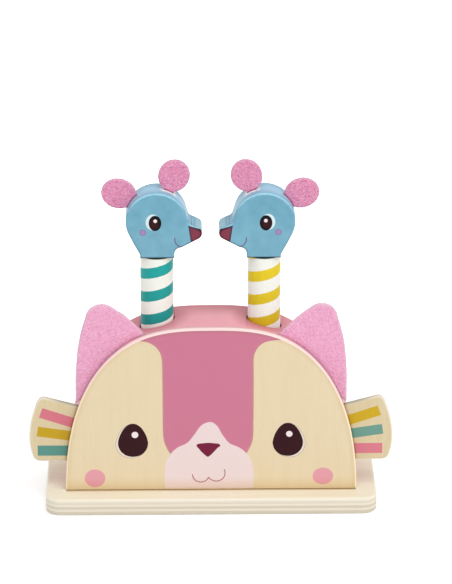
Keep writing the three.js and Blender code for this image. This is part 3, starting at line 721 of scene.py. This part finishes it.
# Makes a flat sheet into felt: an even skin of small faces, a bumpy nap and loose fibres
# where its face is free. freeAt says whether a point shows.
def feltPiece(bm, name, look, curlAt, freeAt, seed):
    piece = newObject(bm, name)
    skin = piece.modifiers.new("skin", "REMESH")
    skin.mode, skin.voxel_size = "VOXEL", look["voxel"] * mm
    piece.modifiers.new("soften", "SMOOTH").iterations = 3
    settle(piece)
    bm = bmesh.new()
    bm.from_mesh(piece.data)
    bm.normal_update()
    for vert in bm.verts:
        fine = noise.noise(vert.co / (1.1 * mm) + Vector((seed, 0, 0)))
        broad = noise.noise(vert.co / (9 * mm) + Vector((0, seed, 0)))
        if freeAt(vert.co):
            vert.co += vert.normal * look["nap"] * mm * (fine + 0.8 * broad)
    chance = random.Random(seed)
    facets = [facet for facet in bm.faces if freeAt(facet.calc_center_median())]
    fibres = [fibreMesh(width, look["fibreLength"]) for width in (0.045, 0.03)]
    places = []
    for _ in range(look["fibres"]):
        spot = chance.choice(facets)
        lean = Vector([chance.uniform(-1, 1) for _ in range(3)])
        lean = (lean - spot.normal * lean.dot(spot.normal)).normalized()
        way = (lean + spot.normal * chance.uniform(0.05, 0.7)).normalized()
        turn = way.to_track_quat("Z", "X").to_matrix().to_4x4()
        size = Matrix.Scale(chance.uniform(0.45, 1.15), 4)
        centre = spot.calc_center_median() + way * look["fibreLength"] * mm * 0.3
        places.append(Matrix.Translation(centre) @ turn @ size)
    for i, place in enumerate(places):
        fibre = fibres[i % len(fibres)]
        fibre.transform(place)
        bm.from_mesh(fibre)
        fibre.transform(place.inverted())
    for vert in bm.verts:
        vert.co += curlAt(vert.co)
    bm.to_mesh(piece.data)
    bm.free()
    return piece


def makeCatEar(name, side, material):
    def curlAt(point):
        rise = max(point.z / mm - board["thickness"] - catEar["curlFrom"], 0) / catEar["curlRise"]
        outward = min(max(abs(point.x) / mm - catEar["spreadFrom"], 0) / catEar["spreadReach"], 1)
        shift = side * (catEar["tipLean"][side] + catEar["tipSpread"][side] * outward) * rise
        return Vector((shift, catEar["curl"] * rise**2, 0)) * mm

    def freeAt(point):
        height = point.z / mm - board["thickness"]
        reach = archHalfWidth(min(max(height, 0), arch["height"] - 0.01))
        return abs(point.x) / mm > reach + 1 or height > arch["height"]

    bm = standingSheet(catEarPoints(side), blockFront + 0.1, catEar["thickness"] - 0.2, catEar["edge"])
    piece = feltPiece(bm, name + "CatEarFelt", catEar, curlAt, freeAt, catEar["seed"][side])
    dress(piece, material, "pale_pink_felt", "root", name + "_cat_ear", crease=0)


# How far outside the arch a point lies, in millimetres
def archCrease(add, place):
    x, _, z = measured(add, place, (0, 0, board["thickness"]))[1]
    return add("Math", [archDepth(add, x, z), -1.0], "MULTIPLY")


paleFelt = feltCloth("palePinkFelt", catEar, archCrease)
for earName, earSide in sides.items():
    makeCatEar(earName, earSide, paleFelt)
print("cat ears made")


# Thin birch plywood with three bars of matt ink on its front
def fanWood(name):
    side = sides[name]
    material, add, place = newMaterial(name + "FanPlywood")
    x, y, _ = add("SeparateXYZ", [place]).outputs
    birch, relief = birchGrain(add, place, 2, fan["birch"], fan["birchDark"], 0.8)
    rim, plies = plyEdge(add, place, 1, fan["plies"], fan["thickness"], blockFront, fan["edgePale"],
                         fan["edgeDark"])
    printed = birch
    driftX, driftZ = fan["drift"][name]
    for tint, ((outX, outZ), (inX, inZ), width) in zip(fan["bars"][name], fan["ends"]):
        angle = math.atan2(outZ - inZ, side * (outX - inX))
        middle = (side * ((outX + inX) / 2 + driftX), 0, board["thickness"] + (outZ + inZ) / 2 + driftZ)
        along, _, across = measured(add, place, middle, (0, -angle, 0))[1]
        limits = [[add("Math", [value], "ABSOLUTE"), reach + 0.12, reach - 0.12] for value, reach in
                  ((along, math.hypot(outX - inX, outZ - inZ) / 2), (across, width / 2))]
        printed = coats(add, printed, ("cover", coats(add, tint, ("cover", birch, 0.03)), *limits))
    # the rounded rim is paler, a painted highlight, and greyer where it faces up; painted shade darkens
    # the plate where it meets the panel
    back = blockFront + fan["thickness"]
    front = add("MapRange", [y, (blockFront + 0.12) * mm, (blockFront + 0.04) * mm])
    shown = coats(add, rim, ("cover", fan["round"], roundedEdge(add)),
                  ("glaze", fan["topGrey"], [facingParts(add)["Z"], 0.05, 0.5],
                   [add("Math", [x], "ABSOLUTE"), 113 * mm, 101 * mm, 0.35]),
                  ("cover", birch, [y, (back - 0.12) * mm, (back - 0.04) * mm]),
                  ("cover", printed, front),
                  ("glaze", fan["crease"], [archCrease(add, place), 1.4, 0.2]))
    return finish(material, add, shown, add("Mix", [front, plies, relief]), 0.035, 0.6,
                  {"Roughness": 0.55, "Specular IOR Level": 0.16})


for fanName, fanSide in sides.items():
    fanMesh = standingSheet(fanPoints(fanSide), blockFront, fan["thickness"], fan["edge"])
    dress(newObject(fanMesh, fanName + "FanPlate"), fanWood(fanName), "printed_plywood", "root",
          fanName + "_whisker_fan")
print("whisker fans made")

# Mice. The pairs in round brackets are points of a head's outline, as shares of the snout's
# length, and all others are millimetres, from the middle of the neck with the nose along +X.
mice = {
    "left": {"x": -36, "turn": 0, "stripe": "#28a6a1", "lowerEdge": 164.75, "slot": "teal_striped_wood"},
    "right": {"x": 36, "turn": math.pi, "stripe": "#eace2a", "lowerEdge": 162.1,
              "slot": "yellow_striped_wood"},
}
head = {
    "thickness": 22, "edge": 2, "neckHalf": 11, "throatReach": 0.9, "craniumRadius": 20.5,
    "craniumHeight": 25.8, "snout": 30.4, "snoutHeight": 17.5, "snoutRadius": 4.4,
    "throatFoot": (0.391, 0.075), "throat": (0.4, 0.235), "chin": (0.545, 0.245),
    "snoutUnder": (0.902, 0.432), "snoutTop": (0.905, 0.712), "bridge": (0.8, 0.762),
    "browCorner": (0.712, 0.785), "brow": (0.69, 0.885), "nape": (0.497, 0.329),
    "napeCorner": (0.4, 0.155), "napeFoot": (0.362, 0.075),
    "blue": "#80b6ca", "blueShade": "#76abc1", "blueHigh": "#f2f8fa", "sawn": "#9fc3da",
    "sawnRim": "#8fb4ca", "upper": "#a5d0e2", "under": "#5b8598", "hatch": "#5a8ba1", "gap": "#34484c",
    "eye": "#0d060b", "eyeInner": "#3a1318", "eyeWhite": "#dcecf1", "glint": "#f6e8ec",
    "cheek": "#a888ba", "cheekRim": "#8583ad", "smile": "#6f6796", "glue": "#eef1f2",
    "nosePaint": "#863b4d", "noseRim": "#48394a", "noseRound": "#a78796", "snoutTip": "#9cc1cc",
    # the nose lies past one line and below another, each a direction and how far along it
    "noseLines": [((0.9893, 0, 0.1464), 24.29), ((0.3377, 0, 0.9413), 29.38)],
    # prints on the face: middle, half width, how far up and down, then each ink with where its
    # soft edge starts and ends
    "prints": [((-9, 18.7), 2.3, 2.3, 2.3, [(-0.15, 0.1, "cheekRim"), (0.15, 0.8, "cheek")]),
               ((-2.3, 25.9), 4.75, 5.75, 5.6, [(-0.04, 0.06, "eyeWhite")]),
               ((-0.85, 25.3), 4.2, 5.45, 5.45, [(-0.04, 0.06, "eye")]),
               ((-1.35, 24.5), 3.5, 4.5, 3.9, [(0, 0.9, "eyeInner")]),
               ((-0.7, 26.9), 1.25, 1.25, 1.25, [(-0.1, 0.15, "glint")])],
    "smileArc": [17.3, 13.6, 5.1, 12.2, 15.4, 16.6, 8.6], "smileWidth": 0.85,
    # the near-white streak fades out across, at both ends and down
    "paleStreakRanges": [(6.2, 5.5), (2.2, 4.6), (14.2, 11.8), (36, 38)],
}
peg = {"radius": 11, "edge": 1.2, "cream": "#f6f8ef", "creamShade": "#eceade", "gap": "#42575a",
       "pitch": 16.6, "share": 0.45, "pinRadius": 4.15, "pinDepth": 12.15}
# each ear's middle stands in a direction, in degrees from the nose, some way off the cranium
ear = {
    "places": {"back": {"direction": 146, "standOff": 9.5, "pointing": 163, "halfWidth": 10.4,
                        "stretch": 1.14, "tabHalf": 1.2},
               "crown": {"direction": 67.8, "standOff": 11.1, "pointing": 69, "halfWidth": 10.5,
                         "stretch": 1.09, "tabHalf": 2.4}},
    "thickness": 3, "edge": 1.0, "tabDepth": 4.5, "slitRoom": 0.4,
    "colour": "#e896ba", "fleck": "#bc618e", "pale": "#fbc9dd", "cutEdge": "#d3a9bd",
    "crease": "#b58a9f", "creaseWidth": 1.2,
    "voxel": 0.4, "nap": 0.14, "fibres": 900, "fibreLength": 1.2,
}


def headPoints():
    spot = {name: (value[0] * head["snout"], value[1] * head["snout"])
            for name, value in head.items() if isinstance(value, tuple)}
    tip = (head["snout"] - head["snoutRadius"], head["snoutHeight"])

    def touch(point):  # angle at which a straight from a point meets the cranium
        rise = point[1] - head["craniumHeight"]
        return math.atan2(rise, point[0]) + math.acos(
            min(head["craniumRadius"] / math.hypot(point[0], rise), 1))

    def aim(point):  # angle at which a point stands about the snout's tip
        return math.atan2(point[1] - tip[1], point[0] - tip[0])

    mirrored = {name: (-spot[name][0], spot[name][1]) for name in ("nape", "napeCorner", "napeFoot")}
    return trace((head["neckHalf"] + head["throatReach"], 0), ("line", spot["throatFoot"]),
                 ("bend", spot["throat"], spot["chin"]),
                 ("arc", tip, head["snoutRadius"], aim(spot["snoutUnder"]), aim(spot["snoutTop"])),
                 ("line", spot["bridge"]), ("bend", spot["browCorner"], spot["brow"]),
                 ("arc", (0, head["craniumHeight"]), head["craniumRadius"], touch(spot["brow"]),
                  math.pi - touch(spot["nape"])),
                 ("line", mirrored["nape"]), ("bend", mirrored["napeCorner"], mirrored["napeFoot"]),
                 ("line", (-head["neckHalf"], 0)), steps=26)


# From the middle of a mouse's neck, nose along +X, to where the mouse stands
def stand(name):
    turn = Matrix.Rotation(mice[name]["turn"], 4, "Z")
    return Matrix.Translation((mice[name]["x"] * mm, middleY * mm, neck * mm)) @ turn


# A felt ear or its slit, larger by grow: a slightly long disc, set with its tab in the head
def earSheet(place, thickness, edge, grow):
    radius, tab = place["halfWidth"] + grow, place["tabHalf"] + grow
    first = -math.acos(tab / radius)
    foot = radius * math.sin(first) - ear["tabDepth"]
    points = trace((tab, foot), ("arc", (0, 0), radius, first, math.pi - first), ("line", (-tab, foot)),
                   steps=48)
    bm = standingSheet([(x, z * place["stretch"]) for x, z in points], -thickness / 2, thickness, edge)
    around, away = math.radians(place["direction"]), head["craniumRadius"] + place["standOff"]
    middle = Vector((away * math.cos(around), 0, head["craniumHeight"] + away * math.sin(around)))
    turn = Matrix.Rotation(math.radians(90 - place["pointing"]), 4, "Y")
    bmesh.ops.transform(bm, verts=bm.verts, matrix=Matrix.Translation(middle * mm) @ turn)
    return bm


# Blue satin paint on wood, brushed along the sawn edge; the face is printed on both sides
def bluePaint(name):
    material, add, place = newMaterial(name + "BluePaintedWood")
    half = head["thickness"] / 2
    local, (x, y, z) = measured(add, place, (mice[name]["x"], middleY, neck), (0, 0, mice[name]["turn"]))
    depth = add("Math", [y], "ABSOLUTE")
    cloud = add("TexNoise", [local, 0.12, 3.0])
    ragged = add("TexNoise", [local, 0.5, 2.0])
    scuff = add("TexNoise", [local, 0.45, 3.0])
    brushed = add("Mapping", {"Vector": local, "Scale": (0.65, 30, 0.65)}, vector_type="TEXTURE")
    lines = add("TexNoise", [brushed, 1.0, 2.0])
    facing, rounded = facingParts(add)["Z"], roundedEdge(add)
    up = add("MapRange", [facing, 0.1, 0.5])
    flat = add("MapRange", [depth, half - 0.7, half - 0.4])
    rounding = add("MapRange", [depth, half - head["edge"] - 0.2, half - head["edge"] + 0.1])
    side = add("Math", [1.0, rounding], "SUBTRACT")
    reach = add("Math", [ragged, 3.0, depth], "MULTIPLY_ADD")
    paleStreakRanges = [[value, *limits] for value, limits in zip((reach, x, x, z), head["paleStreakRanges"])]
    # the sawn edge took less paint: it is paler, most of all half way across; a near-white streak
    # lies along the foot of the crown ear, and the brush dragged across the snout's upper edge; a
    # painted highlight lies on rims that face up, and painted shade on those that face down and along
    # the foot of the neck
    sawn = coats(add, head["sawn"], ("cover", head["sawnRim"], [depth, 1.5, 8]))
    colour = coats(add, head["blue"], ("cover", head["blueShade"], [cloud, 0.35, 0.7]),
                   ("glaze", head["blueHigh"], [z, 14, 32]), ("cover", sawn, side),
                   ("cover", head["glue"], *paleStreakRanges),
                   ("cover", head["snoutTip"], [x, 24, 26, 0, 0.85], side),
                   ("cover", head["hatch"], [x, 19.5, 21.5], side, [x, 26.4, 25.2, 0.2],
                    [lines, 0.38, 0.56, 0, 0.95], up),
                   ("cover", head["upper"], [allOf(add, rounded, up, scuff), 0.12, 0.42, 0, 0.85]),
                   ("glaze", head["under"], [facing, -0.15, -0.7], rounded),
                   ("glaze", head["gap"], [z, 1.0, 0.55]))
    (pastWay, pastFrom), (underWay, underTo) = head["noseLines"]
    past = add("VectorMath", [local, pastWay], "DOT_PRODUCT")
    under = add("VectorMath", [local, underWay], "DOT_PRODUCT")
    pastBy = add("Math", [past, pastFrom], "SUBTRACT")
    underBy = add("Math", [underTo, under], "SUBTRACT")
    nose = add("Math", [pastBy, underBy], "MINIMUM")
    # the nose's paint goes on over the rounded edge, and the prints keep to the flat
    layers = [(nose, 0, 0.2, "noseRim", rounding), (nose, 0.7, 1.5, "nosePaint", rounding)]
    for centre, halfWidth, top, foot, inks in head["prints"]:
        field = eggField(add, x, z, centre, halfWidth, top, foot)
        layers += [(field, start, end, ink, flat) for start, end, ink in inks]
    for field, start, end, ink, limit in layers:
        colour = coats(add, colour, ("cover", head[ink], [field, start, end], limit))
    # the nose darkens where it goes round the sawn edge
    smile = drawnArc(add, x, z, head["smileArc"], head["smileWidth"])
    colour = coats(add, colour, ("glaze", head["noseRound"], rounded, [nose, 0.2, 0.5], rounding),
                   ("cover", head["smile"], smile, flat))
    peel = add("TexNoise", [local, 0.9, 1.0])
    height = add("Math", [allOf(add, lines, side), 1.6, peel], "MULTIPLY_ADD")
    gloss = add("MapRange", [cloud, 0, 1, 0.34, 0.46])
    return finish(material, add, colour, height, 0.04, 0.6,
                  {"Roughness": gloss, "Specular IOR Level": 0.1})


# Turned dowel with a painted spiral: cream ground, satin, one band that climbs to the right
# and is deeper towards the foot, where the brush was full
def stripedPaint(name):
    material, add, place = newMaterial(name + "StripedWood")
    mouse, half = mice[name], peg["share"] / 2
    local, (x, y, z) = measured(add, place, (mouse["x"], middleY, 0))
    angle = add("Math", [y, x], "ARCTAN2")
    turns = add("Math", [angle, 2 * math.pi], "DIVIDE")
    creep = add("TexNoise", [local, 0.5, 2.0])
    wobble = add("Math", [creep, 0.5, z], "MULTIPLY_ADD")
    foot = mouse["lowerEdge"] + 0.25
    climb = add("MapRange", [wobble, foot, foot + peg["pitch"]], clamp=False)
    share = add("Math", [add("Math", [climb, turns], "SUBTRACT")], "FRACT")
    centred = add("Math", [share, half], "SUBTRACT")
    off = add("Math", [add("Math", [centred, 0.5, -0.5], "WRAP")], "ABSOLUTE")
    band = add("MapRange", [off, half + 0.006, half - 0.006])
    fibre = streaks(add, place, 2, 10, 0.5, 3)
    uneven = add("Math", [add("TexNoise", [local, 0.35, 3.0]), 30, z], "MULTIPLY_ADD")
    shade = add("HueSaturation", {"Value": 0.78, "Color": linear(mouse["stripe"])})
    stripe = coats(add, mouse["stripe"], ("cover", shade, [uneven, neck + 8, neck - 25, 0, 0.8]))
    # painted shade darkens the peg's top rim, in the crevice under the head
    shown = coats(add, peg["cream"], ("cover", peg["creamShade"], [fibre, 0.35, 0.7, 0, 0.35]),
                  ("cover", stripe, band), ("glaze", peg["gap"], [z, neck - 0.75, neck - 0.4]))
    height = add("Math", [band, 0.8, fibre], "MULTIPLY_ADD")
    return finish(material, add, shown, height, 0.04, 0.6,
                  {"Roughness": 0.42, "Specular IOR Level": 0.12})


def makeMouse(name, felt):
    mouse, body, node = mice[name], name + "_mouse_body", name + "_mouse_"
    sheet = standingSheet(headPoints(), -head["thickness"] / 2, head["thickness"], head["edge"], 5)
    piece = newObject(sheet, name + "MouseHead")
    pinRadius, pinDepth = peg["pinRadius"], peg["pinDepth"]
    pinHole = [(0, -1), (pinRadius, -1), (pinRadius, pinDepth), (0, pinDepth)]
    slits = [earSheet(place, ear["thickness"] + 0.3, 0, ear["slitRoom"])
             for place in ear["places"].values()]
    carve(piece, [turnedPiece(pinHole, steps=32), *slits])
    piece.data.transform(stand(name))
    dress(piece, bluePaint(name), "blue_painted_wood", body, node + "head")

    def freeAt(point):
        away = math.hypot(point.x, point.z - head["craniumHeight"] * mm)
        return away > (head["craniumRadius"] + 0.8) * mm

    for kind, place in ear["places"].items():
        bm = earSheet(place, ear["thickness"] - 0.1, ear["edge"], 0)
        piece = feltPiece(bm, name + kind.title() + "EarFelt", ear, lambda point: Vector(), freeAt,
                          place["direction"] + len(name))
        piece.data.transform(stand(name))
        dress(piece, felt, "bright_pink_felt", body, node + kind + "_ear", crease=0)
    edge, length = peg["edge"], neck - pegFoot
    profile = [(0, -length), *quarterRound(peg["radius"] - edge, edge - length, edge, -90),
               *quarterRound(peg["radius"] - edge / 2, -edge / 2, edge / 2, 0),
               (pinRadius, 0), (pinRadius, -pinDepth), (0, -pinDepth)]
    piece = newObject(turnedPiece(profile, mouse["x"], middleY, neck), name + "StripedPeg")
    dress(piece, stripedPaint(name), mouse["slot"], body, node + "peg")


# How far outside a cranium a point lies, in millimetres. Both mice stand alike either side of
# the middle, so one distance serves them.
def craniumCrease(add, place):
    x, _, z = add("SeparateXYZ", [place]).outputs
    spot = add("CombineXYZ", [add("Math", [x], "ABSOLUTE"), z])
    centre = (mice["right"]["x"] * mm, (neck + head["craniumHeight"]) * mm, 0)
    away = add("VectorMath", [spot, centre], "DISTANCE")
    return add("Math", [away, 1 / mm, -head["craniumRadius"]], "MULTIPLY_ADD")


brightFelt = feltCloth("brightPinkFelt", ear, craniumCrease)
for mouseName in mice:
    makeMouse(mouseName, brightFelt)
print("mice made")

# Hidden works: plungers, springs, pins and screws
works = {
    "flangeRadius": 14, "flangeThickness": 6, "edge": 0.8, "spigotRadius": 9.7, "spigotLength": 10,
    "spigotTaper": 1.5, "wire": 1.3, "springRadius": 11.35, "turns": 9,
    "beech": "#e0c49a", "beechDark": "#c9a574", "beechFleck": "#a97b4d",
    "steel": "#b9bcc0", "steelDull": "#8f9296", "zinc": "#c9c4ae", "zincYellow": "#a89a6a",
}


# Turned beech: short dark ray flecks in a warm plain wood, bare and matt
def bareBeech():
    material, add, place = newMaterial("turnedBeech")
    grain = streaks(add, place, 2, 18, 0.6, 4)
    flecks = streaks(add, place, 2, 2.4, 0.35)
    wood = coats(add, works["beech"], ("cover", works["beechDark"], [grain, 0.35, 0.65]),
                 ("cover", works["beechFleck"], [flecks, 0.62, 0.7, 0, 0.6]))
    return finish(material, add, wood, grain, 0.04, 0.6, {"Roughness": 0.65})


# Metal whose tone and gloss both vary in soft clouds
def cloudedMetal(name, scale, tone, cloudTone, smooth, rough):
    material, add, place = newMaterial(name)
    cloud = add("TexNoise", [place, scale, 3.0])
    gloss = add("MapRange", [cloud, 0, 1, smooth, rough])
    return setShader(material, {"Base Color": coats(add, tone, ("cover", cloudTone, cloud)),
                                "Roughness": gloss, "Metallic": 1})


# Closed and open coils of one round wire, swept up in three runs
def springMesh(x):
    wire = works["wire"]
    low, high = springFoot + wire / 2, springTop - wire / 2
    start = Matrix.Translation(((x + works["springRadius"]) * mm, middleY * mm, low * mm))
    bm = bmesh.new()
    bmesh.ops.create_circle(bm, cap_ends=True, segments=10, radius=wire / 2 * mm,
                            matrix=start @ Matrix.Rotation(math.pi / 2, 4, "X"))
    swept = bm.faces[:] + bm.edges[:] + bm.verts[:]
    for turns, rise in ((1, wire), (works["turns"], high - low - 2 * wire), (1, wire)):
        steps = 36 * turns
        swept = bmesh.ops.spin(bm, geom=swept, cent=(x * mm, middleY * mm, 0), axis=(0, 0, 1),
                               dvec=(0, 0, rise / steps * mm), angle=2 * math.pi * turns,
                               steps=steps)["geom_last"]
    return closeUp(bm)


def makeWorks():
    beech = bareBeech()
    # drawn spring steel is bright and a little cloudy
    steel = cloudedMetal("springSteel", 300.0, works["steel"], works["steelDull"], 0.22, 0.42)
    # yellow zinc plate on the screws is a warm grey metal, unevenly tinted
    zinc = cloudedMetal("yellowZincPlate", 500.0, works["zinc"], works["zincYellow"], 0.28, 0.45)
    edge, flange, thickness = works["edge"], works["flangeRadius"], works["flangeThickness"]
    spigot, taper, foot = works["spigotRadius"], works["spigotTaper"], -thickness - works["spigotLength"]
    profile = [(0, foot), (spigot - taper, foot), (spigot, foot + taper), (spigot, -thickness),
               *quarterRound(flange - edge, edge - thickness, edge, -90),
               *quarterRound(flange - edge, -edge, edge, 0), (0, 0)]
    for name, mouse in mice.items():
        plunger = newObject(turnedPiece(profile, mouse["x"], middleY, pegFoot), name + "BeechPlunger")
        dress(plunger, beech, "beech", name + "_plunger_body", name + "_plunger")
        coil = newObject(springMesh(mouse["x"]), name + "CoilSpring")
        dress(coil, steel, "spring_steel", name + "_spring_body", name + "_spring", crease=0)
        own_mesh(coil)
    # pins and screws keep their shapes from the CAD
    plain = {name + "_mouse_neck_pin": beech for name in mice}
    plain |= {f"base_screw_{i}": zinc for i in (1, 2, 3, 4)}
    for node, material in plain.items():
        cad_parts[node].data.materials.clear()
        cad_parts[node].data.materials.append(material)


makeWorks()
print("plungers, springs, pins and screws made")

# Camera from above the front, as the photograph was taken
view = {"target": (10.377, 0, 146.748), "distance": 2411.54, "down": 21.826, "side": -0.883,
        "lens": 221.52, "sensor": 36, "clipEnd": 50}


def makeCamera():
    down, side = math.radians(view["down"]), math.radians(view["side"])
    forward = Vector((-math.sin(side) * math.cos(down), math.cos(side) * math.cos(down),
                      -math.sin(down)))
    lens = bpy.data.cameras.new("camera")
    lens.sensor_fit, lens.sensor_height, lens.lens = "VERTICAL", view["sensor"], view["lens"]
    lens.clip_end = view["clipEnd"]
    camera = bpy.data.objects.new("camera", lens)
    bpy.context.scene.collection.objects.link(camera)
    camera.location = (Vector(view["target"]) - forward * view["distance"]) * mm
    camera.rotation_euler = forward.to_track_quat("-Z", "Y").to_euler()
    bpy.context.scene.camera = camera


# Soft studio light: a big panel overhead and to the front, weaker ones on both sides. Places
# and sizes are in metres.
studio = {
    "lamps": [("overhead", (0.4, -0.9, 2.0), 1.5, 18.5), ("fromRight", (1.7, -0.9, 0.9), 1.1, 5.6),
              ("fromLeft", (-1.7, -1.0, 0.8), 1.1, 3.2)],
    "aim": (0, 0, 0.1), "world": 0.7, "floor": "#e4e4e4", "floorSize": 12, "glow": 0.37,
}


# 1 for what the camera sees, itself, mirrored or through something clear
def seenDirectly(add):
    rays = add("LightPath").outputs
    direct = add("Math", [rays["Is Camera Ray"], rays["Is Glossy Ray"]], "MAXIMUM")
    return add("Math", [direct, rays["Is Transmission Ray"]], "MAXIMUM")


def makeStudio():
    scene = bpy.context.scene
    for name, place, size, power in studio["lamps"]:
        lamp = bpy.data.lights.new(name, "AREA")
        lamp.size, lamp.energy = size, power
        holder = bpy.data.objects.new(name, lamp)
        scene.collection.objects.link(holder)
        holder.location = place
        way = Vector(studio["aim"]) - Vector(place)
        holder.rotation_euler = way.to_track_quat("-Z", "Y").to_euler()
    world = bpy.data.worlds.new("studioAir")
    world.use_nodes = True
    add = adder(world.node_tree)
    level = add("Mix", [seenDirectly(add), studio["world"], 1.0])
    plug(world.node_tree.nodes["Background"], {"Color": (1, 1, 1, 1), "Strength": level})
    scene.world = world
    bm = bmesh.new()
    bmesh.ops.create_grid(bm, x_segments=1, y_segments=1, size=studio["floorSize"])
    floor = newObject(bm, "floor")
    # matt white studio paper, which runs out into plain white away from the toy
    material, add, place = newMaterial("paperFloor")
    white = [add("VectorMath", [place], "LENGTH"), 0.2, 0.6, studio["glow"], 1.0]
    floor.data.materials.append(setShader(material, {
        "Base Color": linear(studio["floor"]), "Roughness": 1, "Specular IOR Level": 0,
        "Emission Color": (1, 1, 1, 1), "Emission Strength": allOf(add, seenDirectly(add), white)}))
    scene.view_settings.view_transform = "Standard"


makeCamera()
makeStudio()
print("camera and studio made")
